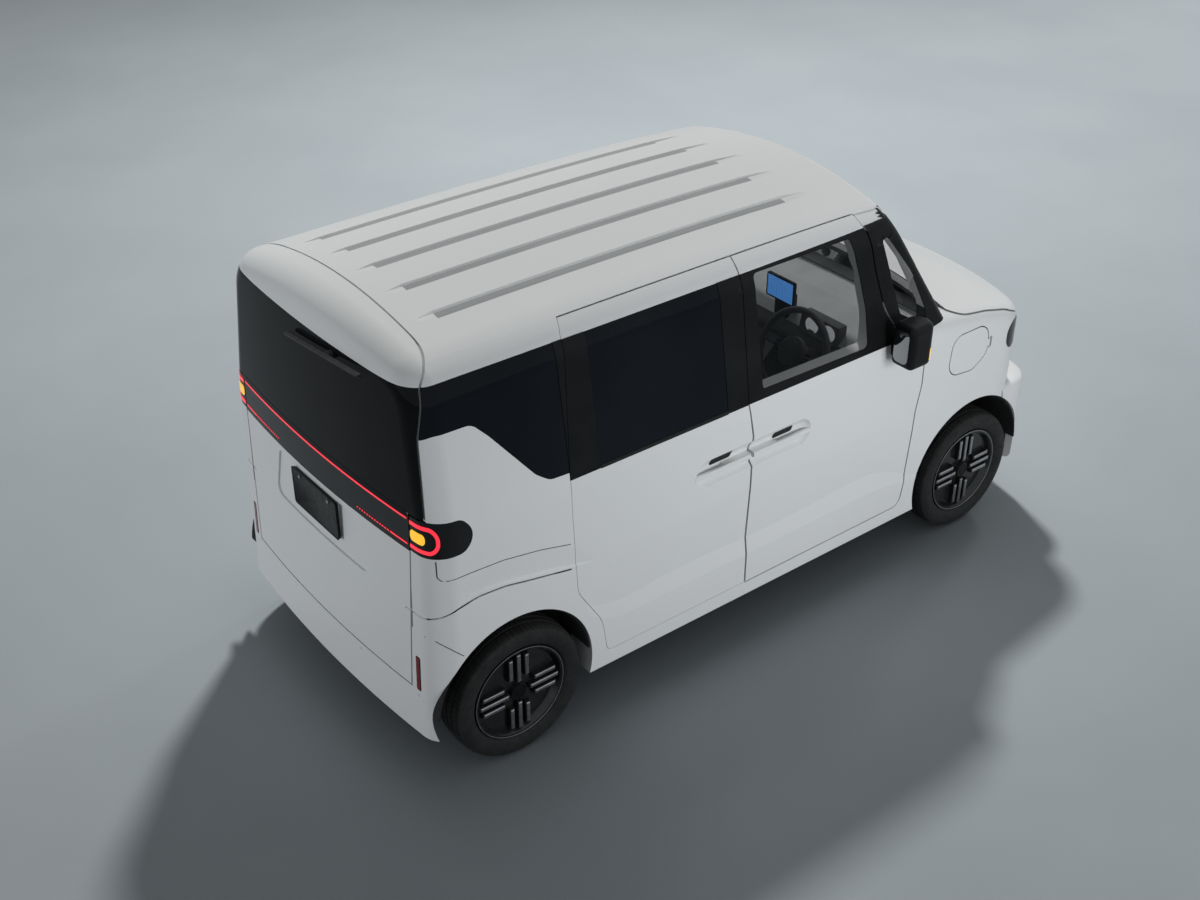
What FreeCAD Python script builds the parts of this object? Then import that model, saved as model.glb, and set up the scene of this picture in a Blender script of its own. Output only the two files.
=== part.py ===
"""Kei car: a tall one-box electric wagon, right-hand drive, built as panels, glass, wheels and seats.

X points forward, Y to the left, Z up. The origin is on the ground under the middle of the car.
"""
import FreeCAD, Part
import math
import os
import Sketcher
from types import SimpleNamespace

Vector = FreeCAD.Vector

doc = FreeCAD.newDocument("kei_car")
sheet = doc.addObject("Spreadsheet::Sheet", "Sizes")

SIZES = {
    # overall
    "FrontEnd": 1697.5,
    "FloorEdge": 230,
    "JackFoot": 226,
    "RoofTop": 1800,
    "SideHalf": 733,
    # cabin section
    "SideLean": 9.5,
    "LeanStart": 1123,
    "ShoulderBlend": 400,
    "RoofEdgeBend": 190,
    "RoofEdgeStart": 1585,
    "RoofEdgeAngle": 13.5,
    "RoofDropRear": 10,
    "RoofDropFront": 50,
    # windscreen and rear face
    "ScreenBow": 3000,
    "ScreenFoot": 1022,
    "ScreenFootHeight": 1158,
    "ScreenLean": 32.9,
    "PillarRound": 42,
    "TailBow": 6000,
    "TailFoot": 1688,
    "TailFootHeight": 450,
    "TailLean": 2.1,
    "TailRound": 105,
    # nose
    "NoseFront": 1640,
    "NoseBow": 1600,
    "NoseCorner": 220,
    "NoseStart": 700,
    "BonnetRound": 85,
    "BonnetBow": 4200,
    # walls and joins
    "GlassThick": 5,
    "PillarWall": 42,
    "DoorInner": 665,
    "FloorTop": 330,
    "BonnetWall": 32,
    "DoorGap": 7,
    "GlassGap": 0.3,
    # wheels
    "FrontAxle": 1200,
    "RearAxle": 1280,
    "TyreRadius": 287,
    "TyreOuter": 729,
    "TyreWide": 165,
    "RimRadius": 203,
    "RimBarrel": 184,
    "CoverFace": 714,
    "FrontArchX": 1185,
    "FrontArchZ": 325,
    "FrontArch": 350,
    "RearArchX": 1300,
    "RearArchZ": 319,
    "RearArch": 345,
    "ArchLiner": 8,
    "FrontWellInner": 395,
    "RearWellInner": 530,
    "WheelHouseWall": 12,
    # front bumper
    "BumperHalf": 736,
    "BumperCorner": 170,
    "BumperBow": 2400,
    "BumperRear": 1380,
    "BumperFoot": 225,
    "BumperTop": 665,
    "BumperWall": 35,
    "BumperRound": 32,
    "LampDeep": 16,
    "CowlGap": 48,
    "LidGap": 5,
    # wheels, chassis and cabin
    "TyreBead": 203.3,
    "BeadInset": 12,
    "SidewallHigh": 42,
    "ShoulderHigh": 14,
    "ShoulderWide": 18,
    "HubBore": 17,
    "HubNose": 30,
    "HubDeep": 62,
    "HubRadius": 58,
    "CapRadius": 34,
    "DishDeep": 26,
    "BarrelWall": 9,
    "BarWide": 21,
    "BarPitch": 36,
    "BarHigh": 20,
    "BallJointHalf": 630,
    "BallJointHeight": 165,
    "StrutTopHalf": 470,
    "StrutTopHeight": 800,
    "StrutFootHalf": 528,
    "SpindleRoot": 618,
    "SubframeHalf": 330,
    "BatteryLong": 1560,
    "BatteryWide": 940,
    "BatteryHigh": 130,
    "BatteryRear": -850,
    "FloorPanUnder": 30,
    "RailHalf": 350,
    "RailWide": 56,
    "DriveLong": 320,
    "DriveHigh": 300,
    "DriveFoot": 245,
    "ColumnTilt": 24,
    "WheelCentreX": 440,
    "WheelCentreZ": 985,
    "DriverHalf": 320,
    "HubLong": 60,
    "SteerRadius": 182,
    "SteerGrip": 15,
    "MirrorX": 612,
    "MirrorZ": 1175,
    "MirrorOuter": 872,
    "MirrorInner": 755,
    # forms in the panels
    "RibPitch": 193,
    "RibHalf": 23,
    "RibDeep": 6,
    "BowlRear": -455,
    "BowlFront": 149,
    "BowlHeight": 918,
    "BowlRadius": 75,
    "BowlDeep": 28,
    "PlateRecess": 8,
    "PlateHoleHalf": 105,
    "PlateHoleRadius": 3,
    "PlateHoleDeep": 20,
    "RearPlateFace": 1668,
    "RearPlateHoles": 985,
    "FrontPlateFace": 1690,
    "FrontPlateHoles": 475,
}
row = 1
for alias, value in SIZES.items():
    sheet.set("A%d" % row, alias)
    sheet.set("B%d" % row, str(value))
    sheet.setAlias("B%d" % row, alias)
    row += 1
doc.recompute()
size = SimpleNamespace(**{alias: float(getattr(sheet, alias)) for alias in SIZES})


# Helpers for outlines and prisms

def rounded_wire(corners, place):
    """A closed wire through (u, v, radius) corners, each radius a tangent arc."""
    flat = [(Vector(c[0], c[1], 0), c[2] if len(c) > 2 else 0) for c in corners]
    ends = []
    for i, (corner, radius) in enumerate(flat):
        before = (flat[i - 1][0] - corner).normalize()
        after = (flat[(i + 1) % len(flat)][0] - corner).normalize()
        if radius == 0:
            ends.append((corner, None, corner))
            continue
        half = before.getAngle(after) / 2
        reach = radius / math.tan(half)
        towards = (before + after).normalize()
        middle = corner + towards * (radius / math.sin(half) - radius)
        ends.append((corner + before * reach, middle, corner + after * reach))
    edges = []
    for i, (start, middle, end) in enumerate(ends):
        if middle is not None:
            edges.append(Part.Arc(place(start), place(middle), place(end)).toShape())
        following = ends[(i + 1) % len(ends)][0]
        if end.distanceToPoint(following) > 0.001:
            edges.append(Part.LineSegment(place(end), place(following)).toShape())
    return Part.Wire(edges)


def side_face(corners, y=0.0, grow=0.0):
    """A flat face of (x, z) corners standing at y, widened by grow."""
    face = Part.Face(rounded_wire(corners, lambda p: Vector(p.x, y, p.y)))
    return Part.Face(face.makeOffset2D(grow).OuterWire) if grow else face


def side_prism(corners, low, high, grow=0.0):
    return side_face(corners, low, grow).extrude(Vector(0, high - low, 0))


def end_prism(corners, low, high):
    """A prism along X from a (y, z) outline."""
    face = Part.Face(rounded_wire(corners, lambda p: Vector(low, p.x, p.y)))
    return face.extrude(Vector(high - low, 0, 0))


def plan_prism(corners, low, high):
    """A prism along Z from an (x, y) outline."""
    face = Part.Face(rounded_wire(corners, lambda p: Vector(p.x, p.y, low)))
    return face.extrude(Vector(0, 0, high - low))


def block(x0, x1, y0, y1, z0, z1):
    return Part.makeBox(x1 - x0, y1 - y0, z1 - z0, Vector(x0, y0, z0))


def drum(radius, centre_x, centre_z, y0, y1):
    """A cylinder along Y."""
    return Part.makeCylinder(radius, y1 - y0, Vector(centre_x, y0, centre_z), Vector(0, 1, 0))


def rod(start, end, radius):
    """A round bar between two points."""
    run = end - start
    return Part.makeCylinder(radius, run.Length, start, run)


def mirrored(shape):
    """The same piece on the left side."""
    return shape.mirror(Vector(0, 0, 0), Vector(0, 1, 0))


def both_sides(shape):
    return [shape, mirrored(shape)]


def main_solid(shape):
    """The largest solid, with slivers of a cut left out."""
    return max(shape.Solids, key=lambda solid: solid.Volume)


def solids_over(shape, volume):
    return [solid for solid in shape.Solids if solid.Volume > volume]


# The skin of the car, drawn at a depth below its painted surface

def roof_section(x, drop, depth):
    """Half the cabin's section at x: side, lean, roof edge and crown, as edges for a loft."""
    lean = math.radians(size.SideLean)
    half = size.SideHalf - depth
    shift = depth * math.tan(lean / 2)
    start = size.LeanStart - shift
    blend = size.ShoulderBlend * math.tan(lean / 2)
    bend = size.RoofEdgeBend - depth
    edge_z = size.RoofEdgeStart - drop
    edge_y = size.SideHalf - (edge_z - size.LeanStart) * math.tan(lean)
    centre_y = edge_y - size.RoofEdgeBend * math.cos(lean)
    centre_z = edge_z - size.RoofEdgeBend * math.sin(lean)
    crown = math.radians(size.RoofEdgeAngle)
    top_y = centre_y + bend * math.sin(crown)
    top_z = centre_z + bend * math.cos(crown)
    arc_mid = (lean + math.pi / 2 - crown) / 2

    def at(y, z):
        return Vector(x, y, z)

    low = size.FloorEdge
    lean_low = at(half - blend * math.sin(lean), start + blend * math.cos(lean))
    side_top = at(half, start - blend)
    blend_mid_y = half - blend * math.sin(lean) * 0.25
    lean_high = at(centre_y + bend * math.cos(lean), centre_z + bend * math.sin(lean))
    bend_mid = at(centre_y + bend * math.cos(arc_mid), centre_z + bend * math.sin(arc_mid))
    crown_end = at(top_y, top_z)
    crown_mid = at(0, size.RoofTop - drop - depth)
    return [low, half, side_top, blend_mid_y, lean_low, lean_high, bend_mid, crown_end, crown_mid]


def section_wire(x, drop, depth):
    low, half, side_top, blend_y, lean_low, lean_high, bend_mid, crown_end, crown_mid = \
        roof_section(x, drop, depth)

    def flip(p):
        return Vector(p.x, -p.y, p.z)

    bottom = Vector(x, half, low)
    blend_mid = Vector(x, blend_y, (side_top.z + lean_low.z) / 2)
    right = [
        Part.LineSegment(flip(bottom), flip(side_top)).toShape(),
        Part.Arc(flip(side_top), flip(blend_mid), flip(lean_low)).toShape(),
        Part.LineSegment(flip(lean_low), flip(lean_high)).toShape(),
        Part.Arc(flip(lean_high), flip(bend_mid), flip(crown_end)).toShape(),
    ]
    crown = [Part.Arc(flip(crown_end), crown_mid, crown_end).toShape()]
    left = [
        Part.Arc(crown_end, bend_mid, lean_high).toShape(),
        Part.LineSegment(lean_high, lean_low).toShape(),
        Part.Arc(lean_low, blend_mid, side_top).toShape(),
        Part.LineSegment(side_top, bottom).toShape(),
    ]
    floor = [Part.LineSegment(bottom, flip(bottom)).toShape()]
    return Part.Wire(right + crown + left + floor)


def leaning_drum(radius, foot, lean_degrees, towards):
    """A great upright cylinder whose wall passes through foot and leans inwards as it rises."""
    lean = math.radians(lean_degrees)
    axis = Vector(-towards * math.sin(lean), 0, math.cos(lean))
    outward = Vector(towards * math.cos(lean), 0, math.sin(lean))
    base = foot - outward * radius - axis * radius
    return Part.makeCylinder(radius, 2 * radius, base, axis)


def edges_on(shape, test):
    """Edges that lie wholly where test says so."""
    found = []
    for edge in shape.Edges:
        first, last = edge.ParameterRange
        spots = [edge.valueAt(first + (last - first) * share) for share in (0.1, 0.5, 0.9)]
        if all(test(spot) for spot in spots):
            found.append(edge)
    return found


def cabin_envelope(depth):
    """The closed form of the cabin, depth below the painted skin."""
    stations = [(-1760, size.RoofDropRear), (-1100, 2), (-400, 0), (200, 10), (760, size.RoofDropFront),
                (1120, 120)]
    body = Part.makeLoft([section_wire(x, drop, depth) for x, drop in stations], True, False)
    screen_foot = Vector(size.ScreenFoot, 0, size.ScreenFootHeight)
    screen = leaning_drum(size.ScreenBow, screen_foot, size.ScreenLean, 1)
    tail_foot = Vector(-size.TailFoot, 0, size.TailFootHeight)
    tail = leaning_drum(size.TailBow, tail_foot, size.TailLean, -1)
    if depth:
        screen = leaning_drum(size.ScreenBow - depth, screen_foot - Vector(
            depth * math.cos(math.radians(size.ScreenLean)), 0,
            depth * math.sin(math.radians(size.ScreenLean))), size.ScreenLean, 1)
        tail = leaning_drum(size.TailBow - depth, tail_foot + Vector(depth, 0, 0), size.TailLean, -1)
    body = body.common(screen).common(tail)

    def on_wall(foot_x, lean_degrees, towards, bow):
        lean = math.tan(math.radians(lean_degrees))

        def test(p):
            height = p.z - (size.ScreenFootHeight if towards > 0 else size.TailFootHeight)
            x = foot_x - towards * (height * lean + p.y * p.y / (2 * bow)
                                    / math.cos(math.radians(lean_degrees)))
            return abs(p.x - x) < 12 and p.z > size.FloorEdge + 5
        return test

    screen_edges = edges_on(body, on_wall(
        size.ScreenFoot - depth / math.cos(math.radians(size.ScreenLean)), size.ScreenLean, 1,
        size.ScreenBow - depth))
    tail_edges = edges_on(body, on_wall(
        -(size.TailFoot - depth), size.TailLean, -1, size.TailBow - depth))
    body = body.makeFillet(size.TailRound - depth, tail_edges)
    screen_edges = edges_on(body, on_wall(
        size.ScreenFoot - depth / math.cos(math.radians(size.ScreenLean)), size.ScreenLean, 1,
        size.ScreenBow - depth))
    if depth < size.PillarRound - 2:
        body = body.makeFillet(size.PillarRound - depth, screen_edges)
    return body



def nose_envelope(depth):
    """The closed form of the nose: bowed front, round corners, a bonnet crowned across."""
    half = size.SideHalf - depth
    front = size.NoseFront - depth
    corner = size.NoseCorner - depth
    bow = size.NoseBow - depth
    bow_centre = size.NoseFront - size.NoseBow
    centre_y = half - corner
    centre_x = bow_centre + math.sqrt((bow - corner) ** 2 - centre_y ** 2)
    turn = math.atan2(centre_y, centre_x - bow_centre)
    meet = Vector(bow_centre + bow * math.cos(turn), bow * math.sin(turn), 0)
    middle_turn = (turn + math.pi / 2) / 2
    corner_mid = Vector(centre_x + corner * math.cos(middle_turn), centre_y + corner * math.sin(middle_turn), 0)
    side_end = Vector(centre_x, half, 0)
    rear = Vector(size.NoseStart, half, 0)

    def flip(p):
        return Vector(p.x, -p.y, p.z)

    edges = [
        Part.LineSegment(flip(rear), flip(side_end)).toShape(),
        Part.Arc(flip(side_end), flip(corner_mid), flip(meet)).toShape(),
        Part.Arc(flip(meet), Vector(front, 0, 0), meet).toShape(),
        Part.Arc(meet, corner_mid, side_end).toShape(),
        Part.LineSegment(side_end, rear).toShape(),
        Part.LineSegment(rear, flip(rear)).toShape(),
    ]
    walls = Part.Face(Part.Wire(edges))
    walls.translate(Vector(0, 0, size.FloorEdge))
    walls = walls.extrude(Vector(0, 0, 1100))
    bonnet_line = [(600, 1245), (900, 1212), (1150, 1172), (1400, 1112), (1550, 1052), (1720, 965)]
    sections = []
    for x, top in bonnet_line:
        top -= depth
        side = 900
        drop = side * side / (2 * size.BonnetBow)
        arc = Part.Arc(Vector(x, -side, top - drop), Vector(x, 0, top), Vector(x, side, top - drop))
        corners = [Vector(x, side, top - drop), Vector(x, side, 0), Vector(x, -side, 0),
                   Vector(x, -side, top - drop)]
        lines = [Part.LineSegment(a, b).toShape() for a, b in zip(corners, corners[1:])]
        sections.append(Part.Wire([arc.toShape()] + lines))
    bonnet = Part.makeLoft(sections, True, False)
    nose = walls.common(bonnet)
    top_edges = edges_on(nose, lambda p: p.z > 900 and p.x > size.NoseStart + 1)
    return nose.makeFillet(size.BonnetRound - min(depth, size.BonnetRound - 20), top_edges)



def bumper_envelope(depth):
    """The closed form of the front bumper, squarer in plan than the nose above it."""
    half = size.BumperHalf - depth
    corner = size.BumperCorner - depth
    bow = size.BumperBow - depth
    bow_centre = size.FrontEnd - size.BumperBow
    centre_y = half - corner
    centre_x = bow_centre + math.sqrt((bow - corner) ** 2 - centre_y ** 2)
    turn = math.atan2(centre_y, centre_x - bow_centre)
    return plan_solid(size.BumperRear, half, corner, bow, bow_centre, centre_x, centre_y, turn,
                      size.BumperFoot + depth, size.BumperTop - depth)


def plan_solid(rear_x, half, corner, bow, bow_centre, centre_x, centre_y, turn, low, high):
    """An upright block with straight sides, round front corners and a bowed front."""
    meet = Vector(bow_centre + bow * math.cos(turn), bow * math.sin(turn), low)
    middle_turn = (turn + math.pi / 2) / 2
    corner_mid = Vector(centre_x + corner * math.cos(middle_turn), centre_y + corner * math.sin(middle_turn), low)
    side_end = Vector(centre_x, half, low)
    rear = Vector(rear_x, half, low)

    def flip(p):
        return Vector(p.x, -p.y, p.z)

    edges = [
        Part.LineSegment(flip(rear), flip(side_end)).toShape(),
        Part.Arc(flip(side_end), flip(corner_mid), flip(meet)).toShape(),
        Part.Arc(flip(meet), Vector(bow_centre + bow, 0, low), meet).toShape(),
        Part.Arc(meet, corner_mid, side_end).toShape(),
        Part.LineSegment(side_end, rear).toShape(),
        Part.LineSegment(rear, flip(rear)).toShape(),
    ]
    return Part.Face(Part.Wire(edges)).extrude(Vector(0, 0, high - low))


# Shared solids that the panels are cut from

skin = cabin_envelope(0)
glass_seat = cabin_envelope(size.GlassThick)
lining = cabin_envelope(size.PillarWall)
nose_skin = nose_envelope(0)
nose_under = nose_envelope(size.BonnetWall)
lid_under = nose_envelope(size.GlassThick)

wheel_house_front = drum(size.FrontArch + size.WheelHouseWall, size.FrontArchX, size.FrontArchZ, 360, 800)
wheel_house_rear = drum(size.RearArch + size.WheelHouseWall, -size.RearArchX, size.RearArchZ, 500, 800)
arch_front = drum(size.FrontArch, size.FrontArchX, size.FrontArchZ, size.FrontWellInner, 800)
arch_rear = drum(size.RearArch, -size.RearArchX, size.RearArchZ, size.RearWellInner, 800)
arches = [arch_front, arch_rear]
arches += [mirrored(arch) for arch in arches]

void_outline = [(-1625, 330), (770, 330), (800, 640), (950, 760), (950, 1110), (1000, 1130), (1100, 1200),
                (1100, 1850), (-1625, 1850)]
cabin_void = lining.common(side_prism(void_outline, -size.DoorInner, size.DoorInner))
cabin_void = cabin_void.cut(Part.makeCompound(both_sides(wheel_house_rear)))
glass_layer = skin.cut(glass_seat)


# Forms pressed into the panels: creases, rail slot, handle bowls and roof ribs

def side_at(x):
    """How far out the painted side lies at x, round the rear corner too."""
    corner = -size.TailFoot + size.TailRound
    if x > corner:
        return size.SideHalf
    return size.SideHalf - size.TailRound + math.sqrt(size.TailRound ** 2 - (x - corner) ** 2)


def crease(stations):
    """A shallow wedge along the right side: x, then the heights of its top, root and foot, and its depth."""
    wires = []
    for x, top, root, foot, depth in stations:
        out = -side_at(x) - 1.5
        corners = [Vector(x, out, top), Vector(x, -side_at(x) + depth, root), Vector(x, out, foot)]
        wires.append(Part.makePolygon(corners + corners[:1]))
    return Part.makeLoft(wires, True, False)


def capsule(start, end, radius):
    ends = [Part.makeSphere(radius, spot) for spot in (start, end)]
    return rod(start, end, radius).fuse(ends).removeSplitter()


def roof_height(x, y):
    """Height of the painted roof over a point."""
    return skin.common(Part.LineSegment(Vector(x, y, 1500), Vector(x, y, 2000)).toShape()).BoundBox.ZMax


def roof_channel(y):
    """A pressed channel along the roof, flat at the bottom, running out at both ends."""
    wires = []
    for x, share in ((-1415, 0.05), (-1350, 1), (-1100, 1), (-800, 1), (-500, 1), (-200, 1), (60, 1), (260, 1),
                     (375, 0.05)):
        half = size.RibHalf * (0.4 + 0.6 * share)
        low = half - 8 * share
        corners = [Vector(x, y - half, roof_height(x, y - half) + 0.4),
                   Vector(x, y + half, roof_height(x, y + half) + 0.4),
                   Vector(x, y + low, roof_height(x, y + low) - size.RibDeep * share),
                   Vector(x, y - low, roof_height(x, y - low) - size.RibDeep * share)]
        wires.append(Part.makePolygon(corners + corners[:1]))
    return Part.makeLoft(wires, True, True)


door_crease = crease([(-980, 690, 570, 500, 0.5), (-880, 770, 522, 442, 7), (-600, 785, 518, 426, 12),
                      (-200, 800, 515, 426, 12), (300, 795, 525, 430, 12), (640, 765, 505, 420, 10),
                      (780, 726, 442, 397, 5), (860, 700, 420, 385, 0.5)])
flare_crease = crease([(-1540, 872, 829, 824, 0.5), (-1453, 950, 852, 838, 6), (-1350, 952, 845, 831, 7),
                       (-1248, 945, 826, 811, 7), (-1100, 915, 795, 781, 6), (-1049, 890, 782, 771, 5),
                       (-950, 820, 762, 756, 0.5)])
rail_slot = glass_layer.common(side_prism(
    [(-1670, 764), (-1632, 777, 60), (-1540, 814, 90), (-1453, 828, 160), (-1340, 820, 200), (-1248, 800, 200),
     (-1049, 762), (-1049, 768), (-1248, 807, 200), (-1340, 827, 200), (-1453, 835, 160), (-1540, 821, 90),
     (-1632, 784, 60), (-1670, 771)], -810, -560))
bowl_half = math.sqrt(size.BowlRadius ** 2 - (size.BowlRadius - size.BowlDeep) ** 2)
bowl_y = -(size.SideHalf + size.BowlRadius - size.BowlDeep)
handle_bowl = capsule(Vector(size.BowlRear + bowl_half, bowl_y, size.BowlHeight),
                      Vector(size.BowlFront - bowl_half, bowl_y, size.BowlHeight), size.BowlRadius)
side_forms = both_sides(door_crease) + both_sides(flare_crease) + both_sides(rail_slot) + both_sides(handle_bowl)
roof_channels = [roof_channel(step * size.RibPitch) for step in (-2, -1, 0, 1, 2)]
shell = skin.cut(cabin_void).cut(side_forms + roof_channels)
nose_shell = nose_skin.cut(nose_under)
nose_panels = nose_shell.cut(both_sides(door_crease))

# Outlines seen from the side, x forward and z up

belt = 1148
glass_top = 1654
door_top = 1713
front_door = [(-185, 1760), (-194, 1150), (-162, 1000), (-162, 298), (744, 298, 45), (764, 420, 200),
              (781, 765, 300), (803, 885, 150), (797, 1133, 12), (655, 1143, 40), (548, 1307, 300),
              (500, 1501, 300), (480, 1638), (462, 1690), (420, 1760)]
slide_door = [(-191, 1760), (-200, 1150), (-171, 1000), (-171, 298), (-880, 298, 30), (-905, 460, 200),
              (-1018, 640, 120), (-1040, 1000, 500), (-1046, 1167, 500), (-1004, 1661, 60), (-960, 1760)]
front_window = [(-120, 1186, 18), (-128, 1642, 18), (384, 1638, 22), (426, 1451, 400), (449, 1330, 200),
                (452, 1176, 18)]
slide_window = [(-913, 1201, 18), (-889, 1648, 18), (-290, 1650, 18), (-303, 1189, 18)]
quarter_window = [(-1070, 1200, 15), (-1040, 1625, 25), (-1530, 1625, 25), (-1545, 1535, 20), (-1400, 1520, 40),
                  (-1330, 1440, 60), (-1180, 1260, 60), (-1120, 1215, 30)]
quarter_glass = [(-985, 1174), (-985, 1655), (-1590, 1655), (-1618, 1400), (-1599, 1478, 12),
                 (-1556, 1492, 60), (-1410, 1488, 60), (-1350, 1425, 80), (-1185, 1222, 80), (-1130, 1182, 60)]
pillar_window = [(643, 1262, 15), (632, 1290, 100), (550, 1596, 14), (583, 1594, 16), (714, 1418, 300),
                 (792, 1240, 80), (800, 1163, 12)]
pillar_glass = [(560, 1152), (797, 1140), (908, 1160), (1060, 1160), (560, 1900), (300, 1900), (300, 1655),
                (900, 1655)]

def keep(label, *shapes):
    """One sub-part of the document, from one or more solids."""
    solids = [solid for shape in shapes for solid in solids_over(shape, 300)]
    feature = doc.addObject("Part::Feature", label)
    feature.Label = label
    feature.Shape = solids[0] if len(solids) == 1 else Part.makeCompound(solids)
    return feature


def fused(*shapes):
    whole = shapes[0]
    for shape in shapes[1:]:
        whole = whole.fuse(shape)
    return whole.removeSplitter()


gap = size.DoorGap
near = -810
far = -420
roof_line = [(-541.5, 1672.5), (-571, 1713), (-605, 1764)]
door_line = [(-548, 1668), (-577, 1709), (-610, 1760)]
door_section = [(-820, 200), (-640, 200), (-640, 1500)] + door_line + [(-820, 1760)]
body_section = [(-820, 200), (-600, 200), (-600, 1500)] + roof_line + [(-820, 1764)]
roof_section_half = [(-541.5, 1672.5), (-571, 1713), (-605, 1764), (-605, 1900)]
roof_outline = roof_section_half + [(-y, z) for y, z in reversed(roof_section_half)]
roof_outline = [(-541.5, 1600)] + roof_outline + [(541.5, 1600)]

# Tailgate, split from the body along the corners and the bowed roof seam
tail_low = [(-576, 438), (576, 438), (597, 1015), (597, 1186), (-597, 1186), (-597, 1015)]
tail_high = [(-1900, 1186), (-1615, 1186), (-1600, 1480, 300), (-1566, 1655, 60), (-1522, 1705, 60),
             (-1484, 1740, 20), (-1480, 1900), (-1900, 1900)]
tail_region = end_prism(tail_low, -1900, -1560).fuse(side_prism(tail_high, -900, 900))
tail_grown_low = [(-583, 431), (583, 431), (604, 1015), (604, 1179), (-604, 1179), (-604, 1015)]
tail_grown = end_prism(tail_grown_low, -1900, -1540).fuse(side_prism(tail_high, -900, 900, gap))

front_door_zone = side_prism(front_door, near, far)
slide_door_zone = side_prism(slide_door, near, far)
front_door_open = side_prism(front_door, near, far, gap)
slide_door_open = side_prism(slide_door, near, far, 2)
door_block = end_prism(door_section, -1800, 1100)

door_right = main_solid(shell.common(front_door_zone).common(door_block))
slide_right = main_solid(shell.common(slide_door_zone).common(door_block))


def handle_bar(rear, front, root_rear, root_front):
    """A pull bar across the bowl, with one half of it set back to the bowl's wall."""
    foot, top = size.BowlHeight - 20, size.BowlHeight + 4
    face = -size.SideHalf - 2
    bar = end_prism([(face, foot, 5), (face, top - 3, 5), (face + 15, top, 5), (face + 15, foot, 5)], rear, front)
    root = end_prism([(face + 2, foot + 1), (face + 2, top - 1), (face + 34, top + 3), (face + 34, foot + 1)],
                     root_rear, root_front)
    return bar.fuse(root)


seam_front, seam_rear = -162, -171
door_right = fused(door_right, handle_bar(seam_front + 3, size.BowlFront + 2, seam_front + 3, -30))
slide_right = fused(slide_right, handle_bar(size.BowlRear - 2, seam_rear - 3, -310, seam_rear - 3))


front_black = side_prism([(-300, belt), (900, belt), (900, glass_top), (-300, glass_top)], near, -560)
slide_black = side_prism([(-1200, belt), (-100, belt), (-100, glass_top), (-1200, glass_top)], near, -560)
glaze_front = glass_layer.common(front_black).common(front_door_zone)
glaze_slide = glass_layer.common(slide_black).common(slide_door_zone)
door_frame_right = main_solid(glaze_front.cut(side_prism(front_window, near, far)))
door_pane_right = main_solid(glaze_front.common(side_prism(front_window, near, far, -size.GlassGap)))
door_right = main_solid(door_right.cut(glaze_front).cut(side_prism(front_window, near, far)))
slide_right = main_solid(slide_right.cut(glaze_slide).cut(side_prism(slide_window, near, far)))

body_zone = end_prism(body_section, -1800, 1100)
body_front = side_prism([(-1900, 200), (757, 200), (757, 1000), (812, 1040), (812, 1142), (905, 1162),
                         (1010, 1162), (1010, 1900), (-1900, 1900)], near, -300)
body_right = shell.common(body_zone).common(body_front)
body_right = body_right.cut(tail_grown).cut(front_door_open).cut(slide_door_open)
body_right = body_right.cut(mirrored(arch_rear)).cut(mirrored(arch_front))

screen_outline = [(-650, 1170, 60), (-572, 1672, 60), (572, 1672, 60), (650, 1170, 60)]
screen_hole = [(-600, 1205, 50), (-530, 1640, 50), (530, 1640, 50), (600, 1205, 50)]
screen_zone = end_prism(screen_outline, 560, 1100)
windscreen = main_solid(glass_layer.common(screen_zone).common(
    side_prism([(640, 1000), (1100, 1000), (1100, 1200), (720, 1750), (560, 1750)], -700, 700)))
body_right = body_right.cut(windscreen).cut(end_prism(screen_hole, 500, 1100))

quarter_zone = side_prism(quarter_glass, near, -560)
pillar_zone = side_prism(pillar_glass, near, -560)
quarter_pane = main_solid(glass_layer.common(quarter_zone).cut(tail_grown).cut(slide_door_open).common(body_zone))
pillar_sheet = glass_layer.common(pillar_zone).cut(front_door_open).common(body_zone).cut(screen_zone)
pillar_frame = main_solid(pillar_sheet.cut(side_prism(pillar_window, near, far)))
pillar_pane = main_solid(pillar_sheet.common(side_prism(pillar_window, near, far, -size.GlassGap)))
body_right = body_right.cut(quarter_pane).cut(pillar_sheet)
body_right = body_right.cut(side_prism(quarter_window, near, far)).cut(side_prism(pillar_window, near, far))
bumper_rear_zone = [(-1900, 100), (-1600, 100), (-1500, 560), (-1633, 705), (-1900, 705)]
body_right = body_right.cut(side_prism(bumper_rear_zone, near, far))
wheel_house = shell.common(mirrored(wheel_house_rear)).common(block(-1800, -900, -620, -400, 340, 760))
wheel_house = wheel_house.cut(side_prism(bumper_rear_zone, near, far))
door_shoes = [block(x, x + 40, -700, -672, 288, 297.7) for x in (-820, -260)]
jack_pads = [block(x - 40, x + 40, -682, -638, size.JackFoot, size.FloorEdge + 10) for x in (620, -820)]
hinge_pillar = block(812, 945, -700.7, -600, 233, 1105).fuse(block(740, 945, -700.7, -600, 233, 288))
hinge_pillar = hinge_pillar.cut(nose_shell).cut(mirrored(arch_front))
body_right = body_right.fuse([wheel_house.cut(mirrored(arch_rear)), hinge_pillar] + door_shoes + jack_pads)

roof = shell.common(end_prism(roof_outline, -1700, 800)).cut(tail_grown)
roof = roof.cut(windscreen).cut(end_prism(screen_hole, 500, 1100))
keep("roof_panel", main_solid(roof))
keep("front_glass", windscreen, *both_sides(pillar_pane))
keep("privacy_glass", *both_sides(quarter_pane), *both_sides(glaze_slide))
keep("pillar_trims", *both_sides(pillar_frame))

wheel_house_clear = drum(size.RearArch + size.WheelHouseWall + gap, -size.RearArchX, size.RearArchZ, 490, 800)
tailgate = main_solid(shell.common(tail_region).cut(Part.makeCompound(both_sides(wheel_house_clear))))


# Lamps and glass of the tail

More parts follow.
